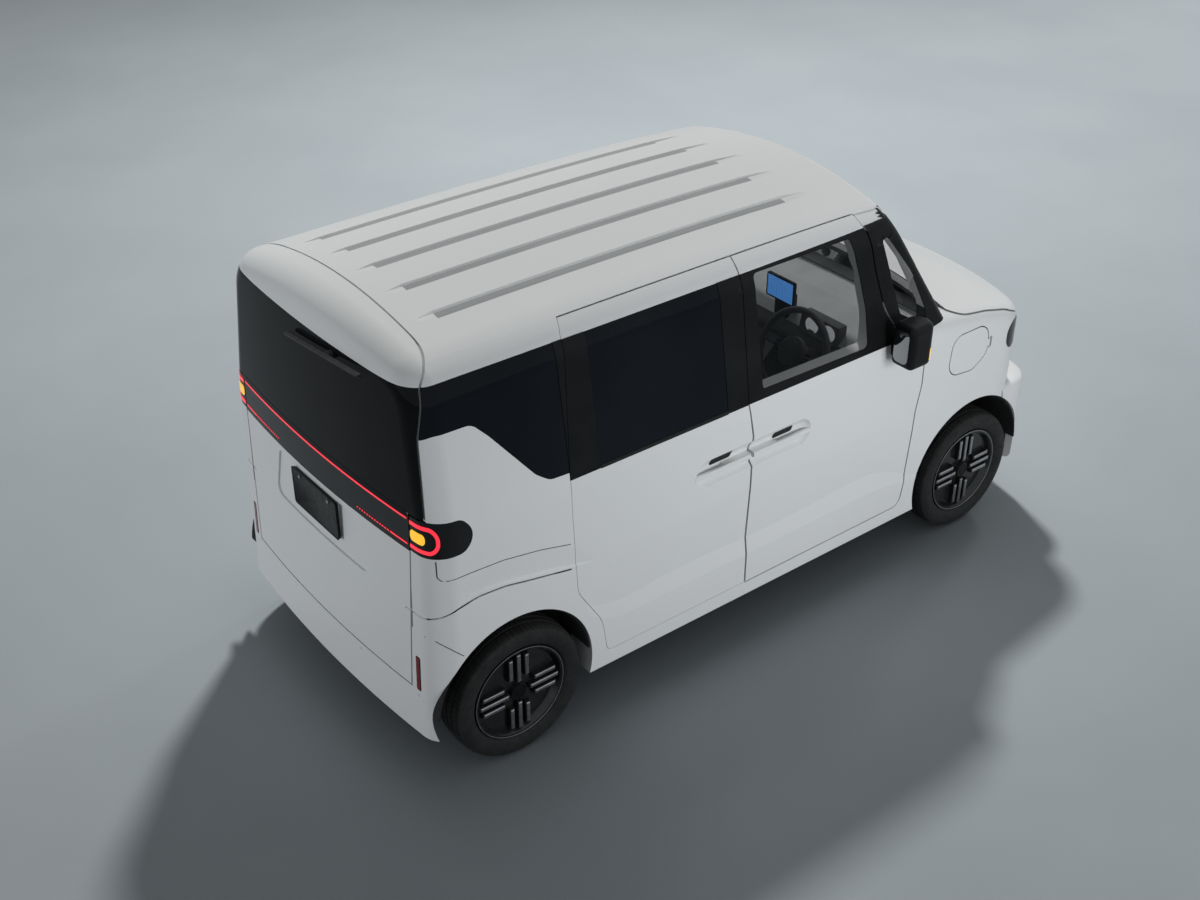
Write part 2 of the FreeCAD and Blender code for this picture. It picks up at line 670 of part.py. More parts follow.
lamp_bar_zone = end_prism([(-597, 1032), (597, 1032), (597, 1183), (-597, 1183)], -1900, -1560)
bar_depth = skin.cut(cabin_envelope(size.LampDeep))
lamp_bar = main_solid(bar_depth.common(lamp_bar_zone))
tail_glass_zone = [(-1900, 1184), (-1400, 1184), (-1400, 1655), (-1900, 1655)]
tail_pane = glass_layer.common(side_prism(tail_glass_zone, -900, 900)).common(tail_region)
tail_pane = main_solid(tail_pane)
tail_window = end_prism([(-540, 1235, 40), (-500, 1615, 50), (500, 1615, 50), (540, 1235, 40)], -1900, -1500)
tailgate = tailgate.cut(lamp_bar).cut(tail_pane).cut(tail_window)
plate_recess = skin.cut(cabin_envelope(size.PlateRecess)).common(
    end_prism([(-295, 1008, 20), (-350, 790, 40), (350, 790, 40), (295, 1008, 20)], -1900, -1560))
plate_pad = block(-size.RearPlateFace, -1650, -150, 150, 852, 1010)
tailgate = tailgate.cut(plate_recess).fuse(plate_pad)
plate_holes = [rod(Vector(-size.RearPlateFace - 5, y, size.RearPlateHoles),
                   Vector(-size.RearPlateFace + size.PlateHoleDeep, y, size.RearPlateHoles), size.PlateHoleRadius)
               for y in (-size.PlateHoleHalf, size.PlateHoleHalf)]
tailgate = main_solid(tailgate.cut(plate_holes))
lamp_corner = [(-1900, 1032), (-1700, 1036), (-1500, 1042, 45), (-1440, 1100, 70), (-1500, 1176, 50),
               (-1700, 1186), (-1900, 1186)]
corner_zone = side_prism(lamp_corner, near, -500)
tail_lamp = main_solid(bar_depth.common(corner_zone).cut(tail_grown))
body_right = Part.makeCompound(solids_over(body_right.cut(tail_lamp).removeSplitter(), 20000))
bumper_skin = side_prism(bumper_rear_zone, -900, 900).cut(
    end_prism([(-583, 431), (583, 431), (604, 1015), (-604, 1015)], -1900, -1400))
bumper_void = lining.common(block(-1640, -1200, -680, 680, 255, 720))
rear_bumper = skin.common(bumper_skin).cut(bumper_void).cut(Part.makeCompound(arches))
rear_bumper = rear_bumper.cut(block(-1590, -1400, -640, 640, 200, 720))
reflector = bar_depth.common(end_prism([(-634, 434, 8), (-608, 434, 8), (-608, 588, 8), (-634, 588, 8)],
                                       -1900, -1500))
rear_bumper = rear_bumper.cut(both_sides(reflector))
keep("tail_lamps", *both_sides(tail_lamp), *both_sides(reflector))
keep("rear_bumper", main_solid(rear_bumper))

keep("tailgate", tailgate)
keep("tailgate_glass", tail_pane)
keep("tailgate_lamp_bar", lamp_bar)

# Nose: bonnet, fenders, lamps, charge lid and bumper

bonnet_line = [(920, 1178), (1070, 1120, 300), (1214, 1095, 300), (1345, 1062, 300), (1500, 990, 200),
               (1800, 925), (1800, 1500), (920, 1500)]
screen_rear = leaning_drum(size.ScreenBow + size.CowlGap, Vector(
    size.ScreenFoot + size.CowlGap * math.cos(math.radians(size.ScreenLean)), 0,
    size.ScreenFootHeight + size.CowlGap * math.sin(math.radians(size.ScreenLean))), size.ScreenLean, 1)
bonnet = main_solid(nose_shell.common(side_prism(bonnet_line, -900, 900)).cut(screen_rear))
bonnet_open = side_prism(bonnet_line, -900, 900, gap)
strap = side_prism([(974, 1127, 6), (974, 1146, 8), (996, 1146, 8), (1000, 1126, 12), (1016, 1117, 10),
                    (1044, 1117, 8), (1050, 1130), (1086, 1121), (1086, 1108, 6), (1046, 1102, 12), (1004, 1102, 12),
                    (984, 1122, 10)], -590, -566)
bonnet_pin = Vector(985, 0, 1135)
pin_hole = rod(bonnet_pin + Vector(0, -640, 0), bonnet_pin + Vector(0, 640, 0), 5.1)
bonnet = fused(bonnet, *both_sides(strap)).cut(pin_hole)
hinge_wells = both_sides(block(966, 1010, -597, -561, 1092, 1150))
lamp_face = [(-655, 735, 40), (-470, 748, 40), (-450, 880, 50), (-640, 905, 60)]
lamp_zone = end_prism(lamp_face, 1300, 1800)
head_lamp = main_solid(nose_skin.cut(nose_envelope(size.LampDeep)).common(lamp_zone).cut(bonnet_open))
lid_line = [(969, 862, 70), (985, 1046, 60), (1200, 1046, 70), (1225, 905, 70), (1130, 846, 60)]
lid_zone = side_prism(lid_line, near, -500)
charge_lid = main_solid(nose_skin.cut(lid_under).common(lid_zone))
lid_pin = Vector(1228.5, -727.5, 920)
lid_notch = block(1210, 1240, -760, -712, 924, 976)
lid_barrel = rod(lid_pin + Vector(0, 0, 10), lid_pin + Vector(0, 0, 50), 4.6)
lid_tab = block(1205, 1228, -732.8, -728, 935, 965)
charge_lid = fused(charge_lid, lid_barrel, lid_tab)
charge_lid = charge_lid.cut(rod(lid_pin, lid_pin + Vector(0, 0, 60), 2.1))
bumper = bumper_envelope(0)
bumper_edges = edges_on(bumper, lambda p: p.x > size.BumperRear + 1 and (
    p.z > size.BumperTop - 1 or p.z < size.BumperFoot + 1))
bumper = bumper.makeFillet(size.BumperRound, bumper_edges)
bumper_skin = bumper.cut(bumper_envelope(size.BumperWall)).cut(Part.makeCompound(arches))
bumper_skin = bumper_skin.cut(nose_under)
plate_seat = block(size.FrontPlateFace, 1800, -172, 172, 335, 508)
intake = bumper.cut(bumper_envelope(24)).common(
    end_prism([(-430, 258, 14), (-400, 318, 14), (400, 318, 14), (430, 258, 14)], 1500, 1800))
front_holes = [rod(Vector(size.FrontPlateFace + 5, y, size.FrontPlateHoles),
                   Vector(size.FrontPlateFace - size.PlateHoleDeep, y, size.FrontPlateHoles), size.PlateHoleRadius)
               for y in (-size.PlateHoleHalf, size.PlateHoleHalf)]
bumper_skin = bumper_skin.cut([plate_seat, intake] + front_holes)
fender_zone = side_prism([(757, 200), (757, 1000), (812, 1040), (812, 1139), (905, 1159), (925, 1170),
                          (1070, 1170), (1800, 1170), (1800, 200)], -900, 900)
fenders = nose_panels.common(fender_zone).cut(bonnet_open).cut(bumper)
fenders = fenders.cut(Part.makeCompound(both_sides(front_door_open) + arches + both_sides(lamp_zone)))
fenders = fenders.cut(side_prism(lid_line, near, -500, size.LidGap)).cut(lid_notch)
fenders = fenders.cut(skin.common(block(700, 1200, -900, 900, 1140, 1900)))
fenders = fenders.cut(block(900, 1130, -600, 600, 1000, 1300))
fenders = fenders.fuse(rod(lid_pin, lid_pin + Vector(0, 0, 60), 2))
keep("bonnet", bonnet)
keep("front_fenders", *solids_over(fenders, 50000))
keep("headlamps", *both_sides(head_lamp))
keep("charge_lid", charge_lid)
keep("front_bumper", main_solid(bumper_skin))

# Structure behind the nose: firewall with cowl, hinge pillars, rails and the front beam

firewall = side_prism([(772, 300), (802, 640), (952, 762), (952, 1108), (1000, 1128), (1000, 740), (840, 620),
                       (800, 300)], -599.7, 599.7)
cowl_front = leaning_drum(size.ScreenBow + size.CowlGap - gap, Vector(
    size.ScreenFoot + (size.CowlGap - gap) * math.cos(math.radians(size.ScreenLean)), 0,
    size.ScreenFootHeight + (size.CowlGap - gap) * math.sin(math.radians(size.ScreenLean))), size.ScreenLean, 1)
cowl = main_solid(nose_shell.common(cowl_front).cut(skin).common(block(900, 1200, -559, 559, 1000, 1300)))
cowl_ribs = [side_prism([(985, 1100), (1003, 1100), (1085, 1148), (1040, 1165), (985, 1119)], y - 9, y + 9)
             .common(cowl_front) for y in (-300, 0, 300)]
pin_brackets = [fused(side_prism([(974, 1100), (1003, 1100), (1060, 1130), (1030, 1156), (974, 1146)], -559, -541)
                      .common(cowl_front),
                      rod(bonnet_pin + Vector(0, -592, 0), bonnet_pin + Vector(0, -545, 0), 5))]
pin_brackets.append(mirrored(pin_brackets[0]))
rails = [block(802, 1580, side * 350 - 28, side * 350 + 28, 303, 400) for side in (-1, 1)]
front_beam = block(1550, 1594.6, -560, 560, 303, 410)
towers = []
for side in (-1, 1):
    disc = rod(Vector(size.FrontAxle, side * size.StrutTopHalf, size.StrutTopHeight + 8),
               Vector(size.FrontAxle, side * size.StrutTopHalf, size.StrutTopHeight + 30), 70)
    wall = block(size.FrontAxle - 80, size.FrontAxle + 80, *sorted((side * 340, side * 395)), 399,
                 size.StrutTopHeight + 30)
    shelf = block(size.FrontAxle - 80, size.FrontAxle + 80, *sorted((side * 350, side * 480)),
                  size.StrutTopHeight + 10, size.StrutTopHeight + 30)
    towers += [disc, wall, shelf]
firewall = firewall.cut(hinge_wells)
front_structure = fused(firewall, cowl, *cowl_ribs, *rails, front_beam, *towers, *pin_brackets)
keep("front_structure", front_structure)

# Wheels: a revolved tyre and a pressed cover with four groups of three bars on a barrel

def origin_plane(body, role):
    return [item for item in body.Origin.OriginFeatures if item.Role == role][0]


def new_sketch(body, role, name):
    sketch = body.newObject("Sketcher::SketchObject", name)
    sketch.AttachmentSupport = (origin_plane(body, role), [""])
    sketch.MapMode = "FlatFace"
    return sketch


def outline(sketch, corners):
    """Draws a closed outline whose corners are bound to (across, along) sheet expressions."""
    count = len(corners)
    first = sketch.GeometryCount
    spots = [Vector(90 + 50 * math.cos(2 * math.pi * i / count), 60 + 50 * math.sin(2 * math.pi * i / count), 0)
             for i in range(count)]
    for i in range(count):
        sketch.addGeometry(Part.LineSegment(spots[i], spots[(i + 1) % count]), False)
    for i in range(count):
        sketch.addConstraint(Sketcher.Constraint("Coincident", first + i, 2, first + (i + 1) % count, 1))
    for i, (across, along) in enumerate(corners):
        for kind, expression, value in (("DistanceX", across, spots[i].x), ("DistanceY", along, spots[i].y)):
            index = sketch.addConstraint(Sketcher.Constraint(kind, -1, 1, first + i, 1, value))
            sketch.setExpression("Constraints[%d]" % index, expression)


def revolved(body, name, corners):
    """Revolves an outline in the body's XY plane about its Y axis."""
    sketch = new_sketch(body, "XY_Plane", name + "_outline")
    outline(sketch, corners)
    ring = body.newObject("PartDesign::Revolution", name)
    ring.Profile = sketch
    ring.ReferenceAxis = (sketch, ["V_Axis"])
    ring.Angle = 360
    return ring


def round_edges(body, base, name, radius, test):
    """Fillets the edges of a feature that test picks."""
    doc.recompute()
    names = ["Edge%d" % (i + 1) for i, edge in enumerate(base.Shape.Edges) if test(edge)]
    fillet = body.newObject("PartDesign::Fillet", name)
    fillet.Base = (base, names)
    fillet.setExpression("Radius", radius)
    return fillet


def circle_of(edge):
    curve = edge.Curve
    return curve if isinstance(curve, Part.Circle) else None


def make_tyre(label, axle, side):
    body = doc.addObject("PartDesign::Body", label)
    body.Label = label
    out, inn = "Sizes.TyreOuter", "(Sizes.TyreOuter - Sizes.TyreWide)"
    ring = revolved(body, label + "_ring", [
        ("Sizes.TyreBead", "%s - Sizes.BeadInset" % out),
        ("Sizes.TyreRadius - Sizes.SidewallHigh", out),
        ("Sizes.TyreRadius - Sizes.ShoulderHigh", "%s - 3" % out),
        ("Sizes.TyreRadius", "%s - Sizes.ShoulderWide" % out),
        ("Sizes.TyreRadius", "%s + Sizes.ShoulderWide" % inn),
        ("Sizes.TyreRadius - Sizes.ShoulderHigh", "%s + 3" % inn),
        ("Sizes.TyreRadius - Sizes.SidewallHigh", inn),
        ("Sizes.TyreBead", "%s + Sizes.BeadInset" % inn),
    ])
    place_wheel(body, axle, side)
    return body


def place_wheel(body, axle, side):
    """Stands a wheel piece on its axle, turned half round for the right side."""
    body.setExpression("Placement.Base.x", axle)
    body.setExpression("Placement.Base.z", "Sizes.TyreRadius")
    if side < 0:
        body.Placement = FreeCAD.Placement(Vector(0, 0, 0), FreeCAD.Rotation(Vector(0, 0, 1), 180))
        body.setExpression("Placement.Base.x", axle)
        body.setExpression("Placement.Base.z", "Sizes.TyreRadius")


def make_rim(label, axle, side):
    """Barrel with lips, dished cover, hub, and bars cut free by slots."""
    body = doc.addObject("PartDesign::Body", label)
    body.Label = label
    inn = "(Sizes.TyreOuter - Sizes.TyreWide)"
    face = "Sizes.CoverFace"
    revolved(body, label + "_barrel", [
        ("Sizes.HubBore", face + " - Sizes.HubDeep"),
        ("Sizes.HubBore", face + " - Sizes.HubNose"),
        ("0", face + " - Sizes.HubNose"),
        ("0", face + " - 6"),
        ("Sizes.CapRadius", face + " - 6"),
        ("Sizes.CapRadius + 3", face + " - Sizes.DishDeep"),
        ("Sizes.RimBarrel - 8", face + " - Sizes.DishDeep"),
        ("Sizes.RimBarrel + 6", face),
        ("Sizes.RimRadius", face + " + 3"),
        ("Sizes.RimRadius", face + " - 8"),
        ("Sizes.RimBarrel", face + " - 18"),
        ("Sizes.RimBarrel", inn + " + 20"),
        ("Sizes.RimRadius - 3", inn + " + 9"),
        ("Sizes.RimRadius - 3", inn + " + 4"),
        ("Sizes.RimBarrel - Sizes.BarrelWall", inn + " + 4"),
        ("Sizes.RimBarrel - Sizes.BarrelWall", face + " - Sizes.DishDeep - 14"),
        ("Sizes.HubRadius", face + " - Sizes.DishDeep - 14"),
        ("Sizes.HubRadius", face + " - Sizes.HubDeep"),
    ])
    sketch = new_sketch(body, "XZ_Plane", label + "_bars")
    for offset, start, end in ((0, 46, 181), (1, 66, 168), (-1, 66, 168)):
        shift = "%d * Sizes.BarPitch" % offset
        half = "Sizes.BarWide / 2"
        outline(sketch, [("%d" % start, "%s - %s" % (shift, half)), ("%d" % end, "%s - %s" % (shift, half)),
                         ("%d" % end, "%s + %s" % (shift, half)), ("%d" % start, "%s + %s" % (shift, half))])
    sketch.AttachmentOffset = FreeCAD.Placement(Vector(0, 0, 0), FreeCAD.Rotation())
    sketch.setExpression("AttachmentOffset.Base.z", "-(Sizes.CoverFace - Sizes.DishDeep - 4)")
    bars = body.newObject("PartDesign::Pad", label + "_bar_group")
    bars.Profile = sketch
    bars.Reversed = True
    bars.setExpression("Length", "Sizes.BarHigh + 4")
    doc.recompute()
    pattern = body.newObject("PartDesign::PolarPattern", label + "_bar_groups")
    pattern.Originals = [bars]
    pattern.Axis = (origin_axis(body, "Y_Axis"), [""])
    pattern.Angle = 360
    pattern.Occurrences = 4
    body.Tip = pattern
    place_wheel(body, axle, side)
    return body


def origin_axis(body, role):
    return [item for item in body.Origin.OriginFeatures if item.Role == role][0]


wheels = []
for end, axle in (("front", "Sizes.FrontAxle"), ("rear", "-Sizes.RearAxle")):
    for word, side in (("right", -1), ("left", 1)):
        wheels.append(make_tyre("tyre_%s_%s" % (end, word), axle, side))
        wheels.append(make_rim("rim_%s_%s" % (end, word), axle, side))
doc.recompute()


# Steering knuckles with their struts, the rear axle, and the front arms

joint_foot = Vector(size.FrontAxle, -size.BallJointHalf, size.BallJointHeight)
kingpin_line = (Vector(size.FrontAxle, -size.StrutTopHalf, size.StrutTopHeight) - joint_foot).normalize()


def make_knuckle():
    """Right knuckle, strut and half-shaft joint, all turning about the steering axis."""
    foot = Vector(size.FrontAxle, -size.BallJointHalf, size.BallJointHeight)
    top = Vector(size.FrontAxle, -size.StrutTopHalf, size.StrutTopHeight)
    hub = Vector(size.FrontAxle, -size.SpindleRoot, size.TyreRadius)
    spindle_end = Vector(size.FrontAxle, -(size.CoverFace - size.HubNose - 2), size.TyreRadius)
    upright = block(size.FrontAxle - 28, size.FrontAxle + 28, -size.SpindleRoot - 12, -size.SpindleRoot + 26,
                    size.TyreRadius - 105, size.TyreRadius + 112)
    upright = upright.makeFillet(8, upright.Edges)
    spindle = rod(hub, spindle_end, size.HubBore - 0.1)
    flange = rod(hub + Vector(0, 20, 0), hub + Vector(0, -22, 0), 52)
    shaft_joint = rod(hub + Vector(0, 15, 0), hub + Vector(0, 72, 0), 40)
    ball = rod(foot, foot + kingpin_line * 50, 13)
    clamp = block(size.FrontAxle - 22, size.FrontAxle + 22, -size.SpindleRoot + 4, -size.StrutFootHalf + 14,
                  size.TyreRadius + 72, size.TyreRadius + 112)
    strut_foot = Vector(size.FrontAxle, -size.StrutFootHalf, size.TyreRadius + 70)
    tube = rod(strut_foot, strut_foot + (top - strut_foot) * 0.55, 22)
    piston = rod(strut_foot, top, 11)
    seat_at = strut_foot + (top - strut_foot) * 0.5
    seat = rod(seat_at, seat_at + (top - strut_foot).normalize() * 8, 46)
    arm = block(size.FrontAxle - 120, size.FrontAxle - 20, -size.SpindleRoot - 2, -size.SpindleRoot + 18,
                size.TyreRadius - 96, size.TyreRadius - 76)
    return fused(upright, spindle, flange, shaft_joint, ball, clamp, tube, piston, seat, arm)


knuckle = make_knuckle()
keep("knuckle_right", knuckle)
keep("knuckle_left", mirrored(knuckle))

arm_z = size.BallJointHeight - 0.3
arm_plan = [(size.FrontAxle - 24, -size.BallJointHalf - 16, 14), (size.FrontAxle + 24, -size.BallJointHalf - 16, 14),
            (size.FrontAxle + 30, -470, 60), (size.FrontAxle + 90, -size.SubframeHalf, 0),
            (size.FrontAxle - 220, -size.SubframeHalf, 0), (size.FrontAxle - 190, -400, 60),
            (size.FrontAxle - 26, -500, 60)]
lower_arm = plan_prism(arm_plan, arm_z - 24, arm_z)
lower_arm = lower_arm.cut(rod(joint_foot - kingpin_line * size.GlassGap, joint_foot + kingpin_line * 30, 20))
lower_arm = fused(lower_arm, rod(joint_foot - kingpin_line * 20, joint_foot - kingpin_line * size.GlassGap, 20))
subframe = block(size.FrontAxle - 240, size.FrontAxle + 110, -size.SubframeHalf, size.SubframeHalf, arm_z - 30, arm_z + 25)
subframe = subframe.cut(block(size.FrontAxle - 190, size.FrontAxle + 60, -230, 230, arm_z - 40, arm_z + 40))
legs = [block(size.FrontAxle + x, size.FrontAxle + x + 40, side * 350 - 25, side * 350 + 25, arm_z + 10, 302.7)
        for x in (-235, 65) for side in (-1, 1)]
subframe = subframe.fuse([block(size.FrontAxle - 235, size.FrontAxle + 105, side * 350 - 28, side * 350 + 28,
                                arm_z - 30, arm_z + 25) for side in (-1, 1)] + legs)
rack = rod(Vector(size.FrontAxle - 130, -330, arm_z + 50), Vector(size.FrontAxle - 130, 330, arm_z + 50), 26)
rack_feet = [block(size.FrontAxle - 150, size.FrontAxle - 110, y - 20, y + 20, arm_z + 10, arm_z + 60) for y in (-280, 280)]
shafts = [rod(Vector(size.FrontAxle, side * 322.2, size.TyreRadius), Vector(size.FrontAxle, side * 505, size.TyreRadius), 15)
          for side in (-1, 1)]
keep("front_suspension", fused(subframe, lower_arm, mirrored(lower_arm), rack, *rack_feet), *shafts)

spindle_tip = size.CoverFace - size.HubNose - 2
axle_parts = []
for side in (-1, 1):
    hub = Vector(-size.RearAxle, side * size.SpindleRoot, size.TyreRadius)
    axle_parts += [rod(hub, Vector(-size.RearAxle, side * spindle_tip, size.TyreRadius), size.HubBore - 0.1),
                   rod(hub, Vector(-size.RearAxle, side * (size.SpindleRoot + 22), size.TyreRadius), 52),
                   block(-size.RearAxle - 60, -size.RearAxle + 60, *sorted((side * 560, side * 622)),
                         size.TyreRadius - 60, size.TyreRadius + 50)]
    arm_line = [(-size.RearAxle - 60, 262, 10), (-size.RearAxle - 60, 325, 10), (-size.RearAxle + 200, 330, 40),
                (-880, 296, 20), (-880, 250, 20), (-size.RearAxle + 200, 262, 40)]
    axle_parts.append(side_prism(arm_line, *sorted((side * 500, side * 562))))
axle_parts.append(block(-size.RearAxle + 140, -size.RearAxle + 200, -502, 502, 268, 325))
keep("rear_axle", fused(*axle_parts))

# Heavy masses as plain blocks
battery = doc.addObject("Part::Box", "battery_pack")
battery.Label = "battery_pack"
for name, expression in (("Length", "Sizes.BatteryLong"), ("Width", "Sizes.BatteryWide"), ("Height", "Sizes.BatteryHigh"),
                         ("Placement.Base.x", "Sizes.BatteryRear"), ("Placement.Base.y", "-Sizes.BatteryWide / 2"),
                         ("Placement.Base.z", "Sizes.FloorTop - Sizes.FloorPanUnder - Sizes.BatteryHigh - 0.3")):
    battery.setExpression(name, expression)
drive = doc.addObject("Part::Box", "drive_block")
for name, expression in (("Length", "Sizes.DriveLong"), ("Width", "2 * Sizes.RailHalf - Sizes.RailWide - 0.6"),
                         ("Height", "Sizes.DriveHigh"), ("Placement.Base.x", "Sizes.FrontAxle - Sizes.DriveLong / 2 + 20"),
                         ("Placement.Base.y", "-(Sizes.RailHalf - Sizes.RailWide / 2 - 0.3)"),
                         ("Placement.Base.z", "Sizes.DriveFoot")):
    drive.setExpression(name, expression)
doc.recompute()
drive_unit = doc.addObject("Part::Fillet", "drive_unit")
drive_unit.Label = "drive_unit"
drive_unit.Base = drive
drive_unit.Edges = [(i + 1, 18, 18) for i in range(len(drive.Shape.Edges))]

floor_line = [(-1618, 425), (-1010, 425, 20), (-950, 300, 20), (770, 300), (770, 329.7), (-938, 329.7, 20),
              (-998, 453, 20), (-1618, 453)]
floor = side_prism(floor_line, -599.7, 599.7)
floor = floor.cut(Part.makeCompound([block(-1700, -900, *sorted((side * 499.7, side * 620)), 230, 700)
                                     for side in (-1, 1)]))
keep("floor_pan", main_solid(floor))

# Cabin: dashboard, steering wheel and seats
dash_line = [(575, 820, 30), (560, 960, 40), (640, 1050, 60), (800, 1090, 100), (951.7, 1100), (951.7, 830), (800, 700, 40),
             (690, 690, 40)]
dash = side_prism(dash_line, -585, 585)
dash = dash.makeFillet(14, edges_on(dash, lambda p: abs(abs(p.y) - 585) < 1))
console = side_prism([(480, 700, 30), (440, 820, 30), (560, 940, 40), (700, 900), (700, 640, 30)], -120, 120)
column_tilt = math.radians(size.ColumnTilt)
towards = Vector(-math.cos(column_tilt), 0, math.sin(column_tilt))
wheel_centre = Vector(size.WheelCentreX, -size.DriverHalf, size.WheelCentreZ)
column = rod(wheel_centre - towards * 330, wheel_centre - towards * (size.HubLong / 2 + 0.3), 32)
keep("dashboard", fused(dash, console, column))


def make_steering_wheel():
    rim = Part.makeTorus(size.SteerRadius, size.SteerGrip, wheel_centre, towards)
    hub = rod(wheel_centre - towards * size.HubLong / 2, wheel_centre + towards * size.HubLong / 2, 52)
    reach = size.SteerRadius
    across = rod(wheel_centre + Vector(0, -reach, 0), wheel_centre + Vector(0, reach, 0), 9)
    down = Vector(towards.z, 0, -towards.x) * -1
    lower = rod(wheel_centre, wheel_centre + down * reach, 9)
    return fused(rim, hub, across, lower)


keep("steering_wheel", make_steering_wheel())


def make_seat(centre_y, width, base_x, base_z, cushion_long, back_top, headrest):
    """Cushion on a base, leaning back and headrest, as one soft outline."""
    x0 = base_x
    profile = [(x0, base_z), (x0 + cushion_long - 60, base_z), (x0 + cushion_long, base_z + 150, 50),
               (x0 + cushion_long - 20, base_z + 235, 50), (x0 + 60, base_z + 215, 60),
               (x0 - 60, back_top, 50), (x0 - 160, back_top - 10, 50), (x0 - 60, base_z + 120, 60)]
    seat = side_prism(profile, centre_y - width / 2, centre_y + width / 2)
    seat = seat.makeFillet(24, edges_on(seat, lambda p: abs(abs(p.y - centre_y) - width / 2) < 1 and p.z > base_z + 30))
    for head_y in headrest:
        head = block(x0 - 165, x0 - 75, head_y - 125, head_y + 125, back_top - 5, back_top + 165)
        head = head.makeFillet(28, [edge for edge in head.Edges])
        seat = seat.fuse(head)
    return seat.removeSplitter()


front_seats = [make_seat(side * size.DriverHalf, 500, -130, 330, 470, 1130, [side * size.DriverHalf]) for side in (-1, 1)]
keep("seats", *front_seats, make_seat(0, 1180, -865, 330, 460, 1130, [-330, 330]))

# Wheel arch liners, mirrors and rear wiper
liners = []
for radius, x, z, inner in ((size.FrontArch, size.FrontArchX, size.FrontArchZ, size.FrontWellInner),
                            (size.RearArch, -size.RearArchX, size.RearArchZ, size.RearWellInner)):
    outer = drum(radius - size.GlassGap, x, z, inner + size.GlassGap, 722)
    hollow = drum(radius - size.ArchLiner, x, z, inner + size.ArchLiner, 800)
    liner = outer.cut(hollow).cut(block(x - 500, x + 500, 0, 800, -100, size.FloorEdge + 115))
    if x > 0:
        strut_top = Vector(size.FrontAxle, size.StrutTopHalf, size.StrutTopHeight)
        strut_line = strut_top - Vector(size.FrontAxle, size.BallJointHalf, size.BallJointHeight)
        liner = liner.cut(rod(strut_top - strut_line * 0.6, strut_top, 62))
    liners += both_sides(liner)
keep("wheel_arch_liners", *liners)

mirror_head = plan_prism([(size.MirrorX - 62, -size.MirrorOuter, 26), (size.MirrorX - 62, -size.MirrorInner, 26),
                          (size.MirrorX + 50, -size.MirrorInner, 40), (size.MirrorX + 84, -size.MirrorInner - 60, 40),
                          (size.MirrorX + 60, -size.MirrorOuter, 40)], size.MirrorZ - 88, size.MirrorZ + 102)
mirror_ends = edges_on(mirror_head, lambda p: abs(p.z - size.MirrorZ + 88) < 1 or abs(p.z - size.MirrorZ - 102) < 1)
mirror_head = mirror_head.makeFillet(24, mirror_ends)
mirror_arm = plan_prism([(size.MirrorX + 30, -size.MirrorInner - 30, 0), (size.MirrorX - 20, -size.MirrorInner - 30, 0),
                         (size.MirrorX - 30, -712), (size.MirrorX + 60, -712)], size.MirrorZ - 72, size.MirrorZ - 18)
mirror = mirror_head.fuse(mirror_arm).cut(skin)
door_trim = fused(door_frame_right, mirror)
for word, place in (("right", lambda shape: shape), ("left", mirrored)):
    keep("body_side_" + word, place(body_right))
    keep("door_front_" + word, place(door_right))
    keep("sliding_door_" + word, place(slide_right))
    keep("door_glass_" + word, place(door_pane_right))
    keep("door_trim_" + word, place(door_trim))

wiper_top = Vector(-1662, -410, 1642)
wiper_low = Vector(-1666, 95, 1592)
wiper = rod(wiper_top, wiper_low, 8).fuse(rod(Vector(-1662, -180, 1618), Vector(-1641, -180, 1618), 16))
keep("rear_wiper", wiper.removeSplitter().cut(skin))

doc.recompute()
BODY_KINDS = ("PartDesign::Body", "Part::Feature", "Part::Fillet", "Part::Box")
kept = []
for part in doc.Objects:
    if "Invalid" in part.State or "Error" in part.State:
        raise RuntimeError("%s did not compute: %s" % (part.Label, part.State))
    if part.TypeId in BODY_KINDS and not part.getParentGeoFeatureGroup() and not part.InList:
        kept.append(part)
for part in kept:
    if part.Shape.isNull() or not part.Shape.isValid() or not part.Shape.Solids:
        raise RuntimeError("%s has no sound solid" % part.Label)
os.makedirs("parts", exist_ok=True)
for part in kept:
    part.Shape.exportStep("parts/%s.step" % part.Label)
    print(part.Label, [round(one.Volume / 1e6, 2) for one in part.Shape.Solids])
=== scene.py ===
"""Looks of the kei car: camera, studio, finishes and the fine pieces that ride on its bodies.

Metres, in the CAD part's frame: x runs to the nose, y to the left side and z upwards.
"""
import math

import bpy
import bmesh
from mathutils import Matrix, Vector


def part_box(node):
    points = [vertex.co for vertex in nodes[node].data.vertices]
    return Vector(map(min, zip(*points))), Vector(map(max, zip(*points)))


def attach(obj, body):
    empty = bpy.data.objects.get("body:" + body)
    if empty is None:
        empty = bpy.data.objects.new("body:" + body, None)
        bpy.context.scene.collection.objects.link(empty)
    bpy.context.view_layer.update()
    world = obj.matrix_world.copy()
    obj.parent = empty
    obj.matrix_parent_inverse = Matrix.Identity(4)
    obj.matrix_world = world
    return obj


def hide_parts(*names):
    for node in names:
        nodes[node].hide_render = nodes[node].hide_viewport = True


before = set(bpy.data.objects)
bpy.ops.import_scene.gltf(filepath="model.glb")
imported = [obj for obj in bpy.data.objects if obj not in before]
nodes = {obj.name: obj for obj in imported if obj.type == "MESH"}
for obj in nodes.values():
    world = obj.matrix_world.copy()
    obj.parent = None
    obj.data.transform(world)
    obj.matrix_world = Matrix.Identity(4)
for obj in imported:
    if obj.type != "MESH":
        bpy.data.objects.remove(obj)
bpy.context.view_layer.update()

SIDES = (("right", -1), ("left", 1))
FORWARDS, BACKWARDS, LEFTWARDS = (1, 0, 0), (-1, 0, 0), (0, 1, 0)
# Flat strips start this far out and slide inwards until they lie on a panel.
BEHIND, AHEAD, BESIDE, ABOVE = -1.8, 2.0, 1.0, 2.0

WARM_WHITE = (1.0, 0.995, 0.98)
COOL_WHITE = (0.96, 0.98, 1.0)
FLOOR_SIZE = 80.0

finish = {}


# Camera, lights and floor

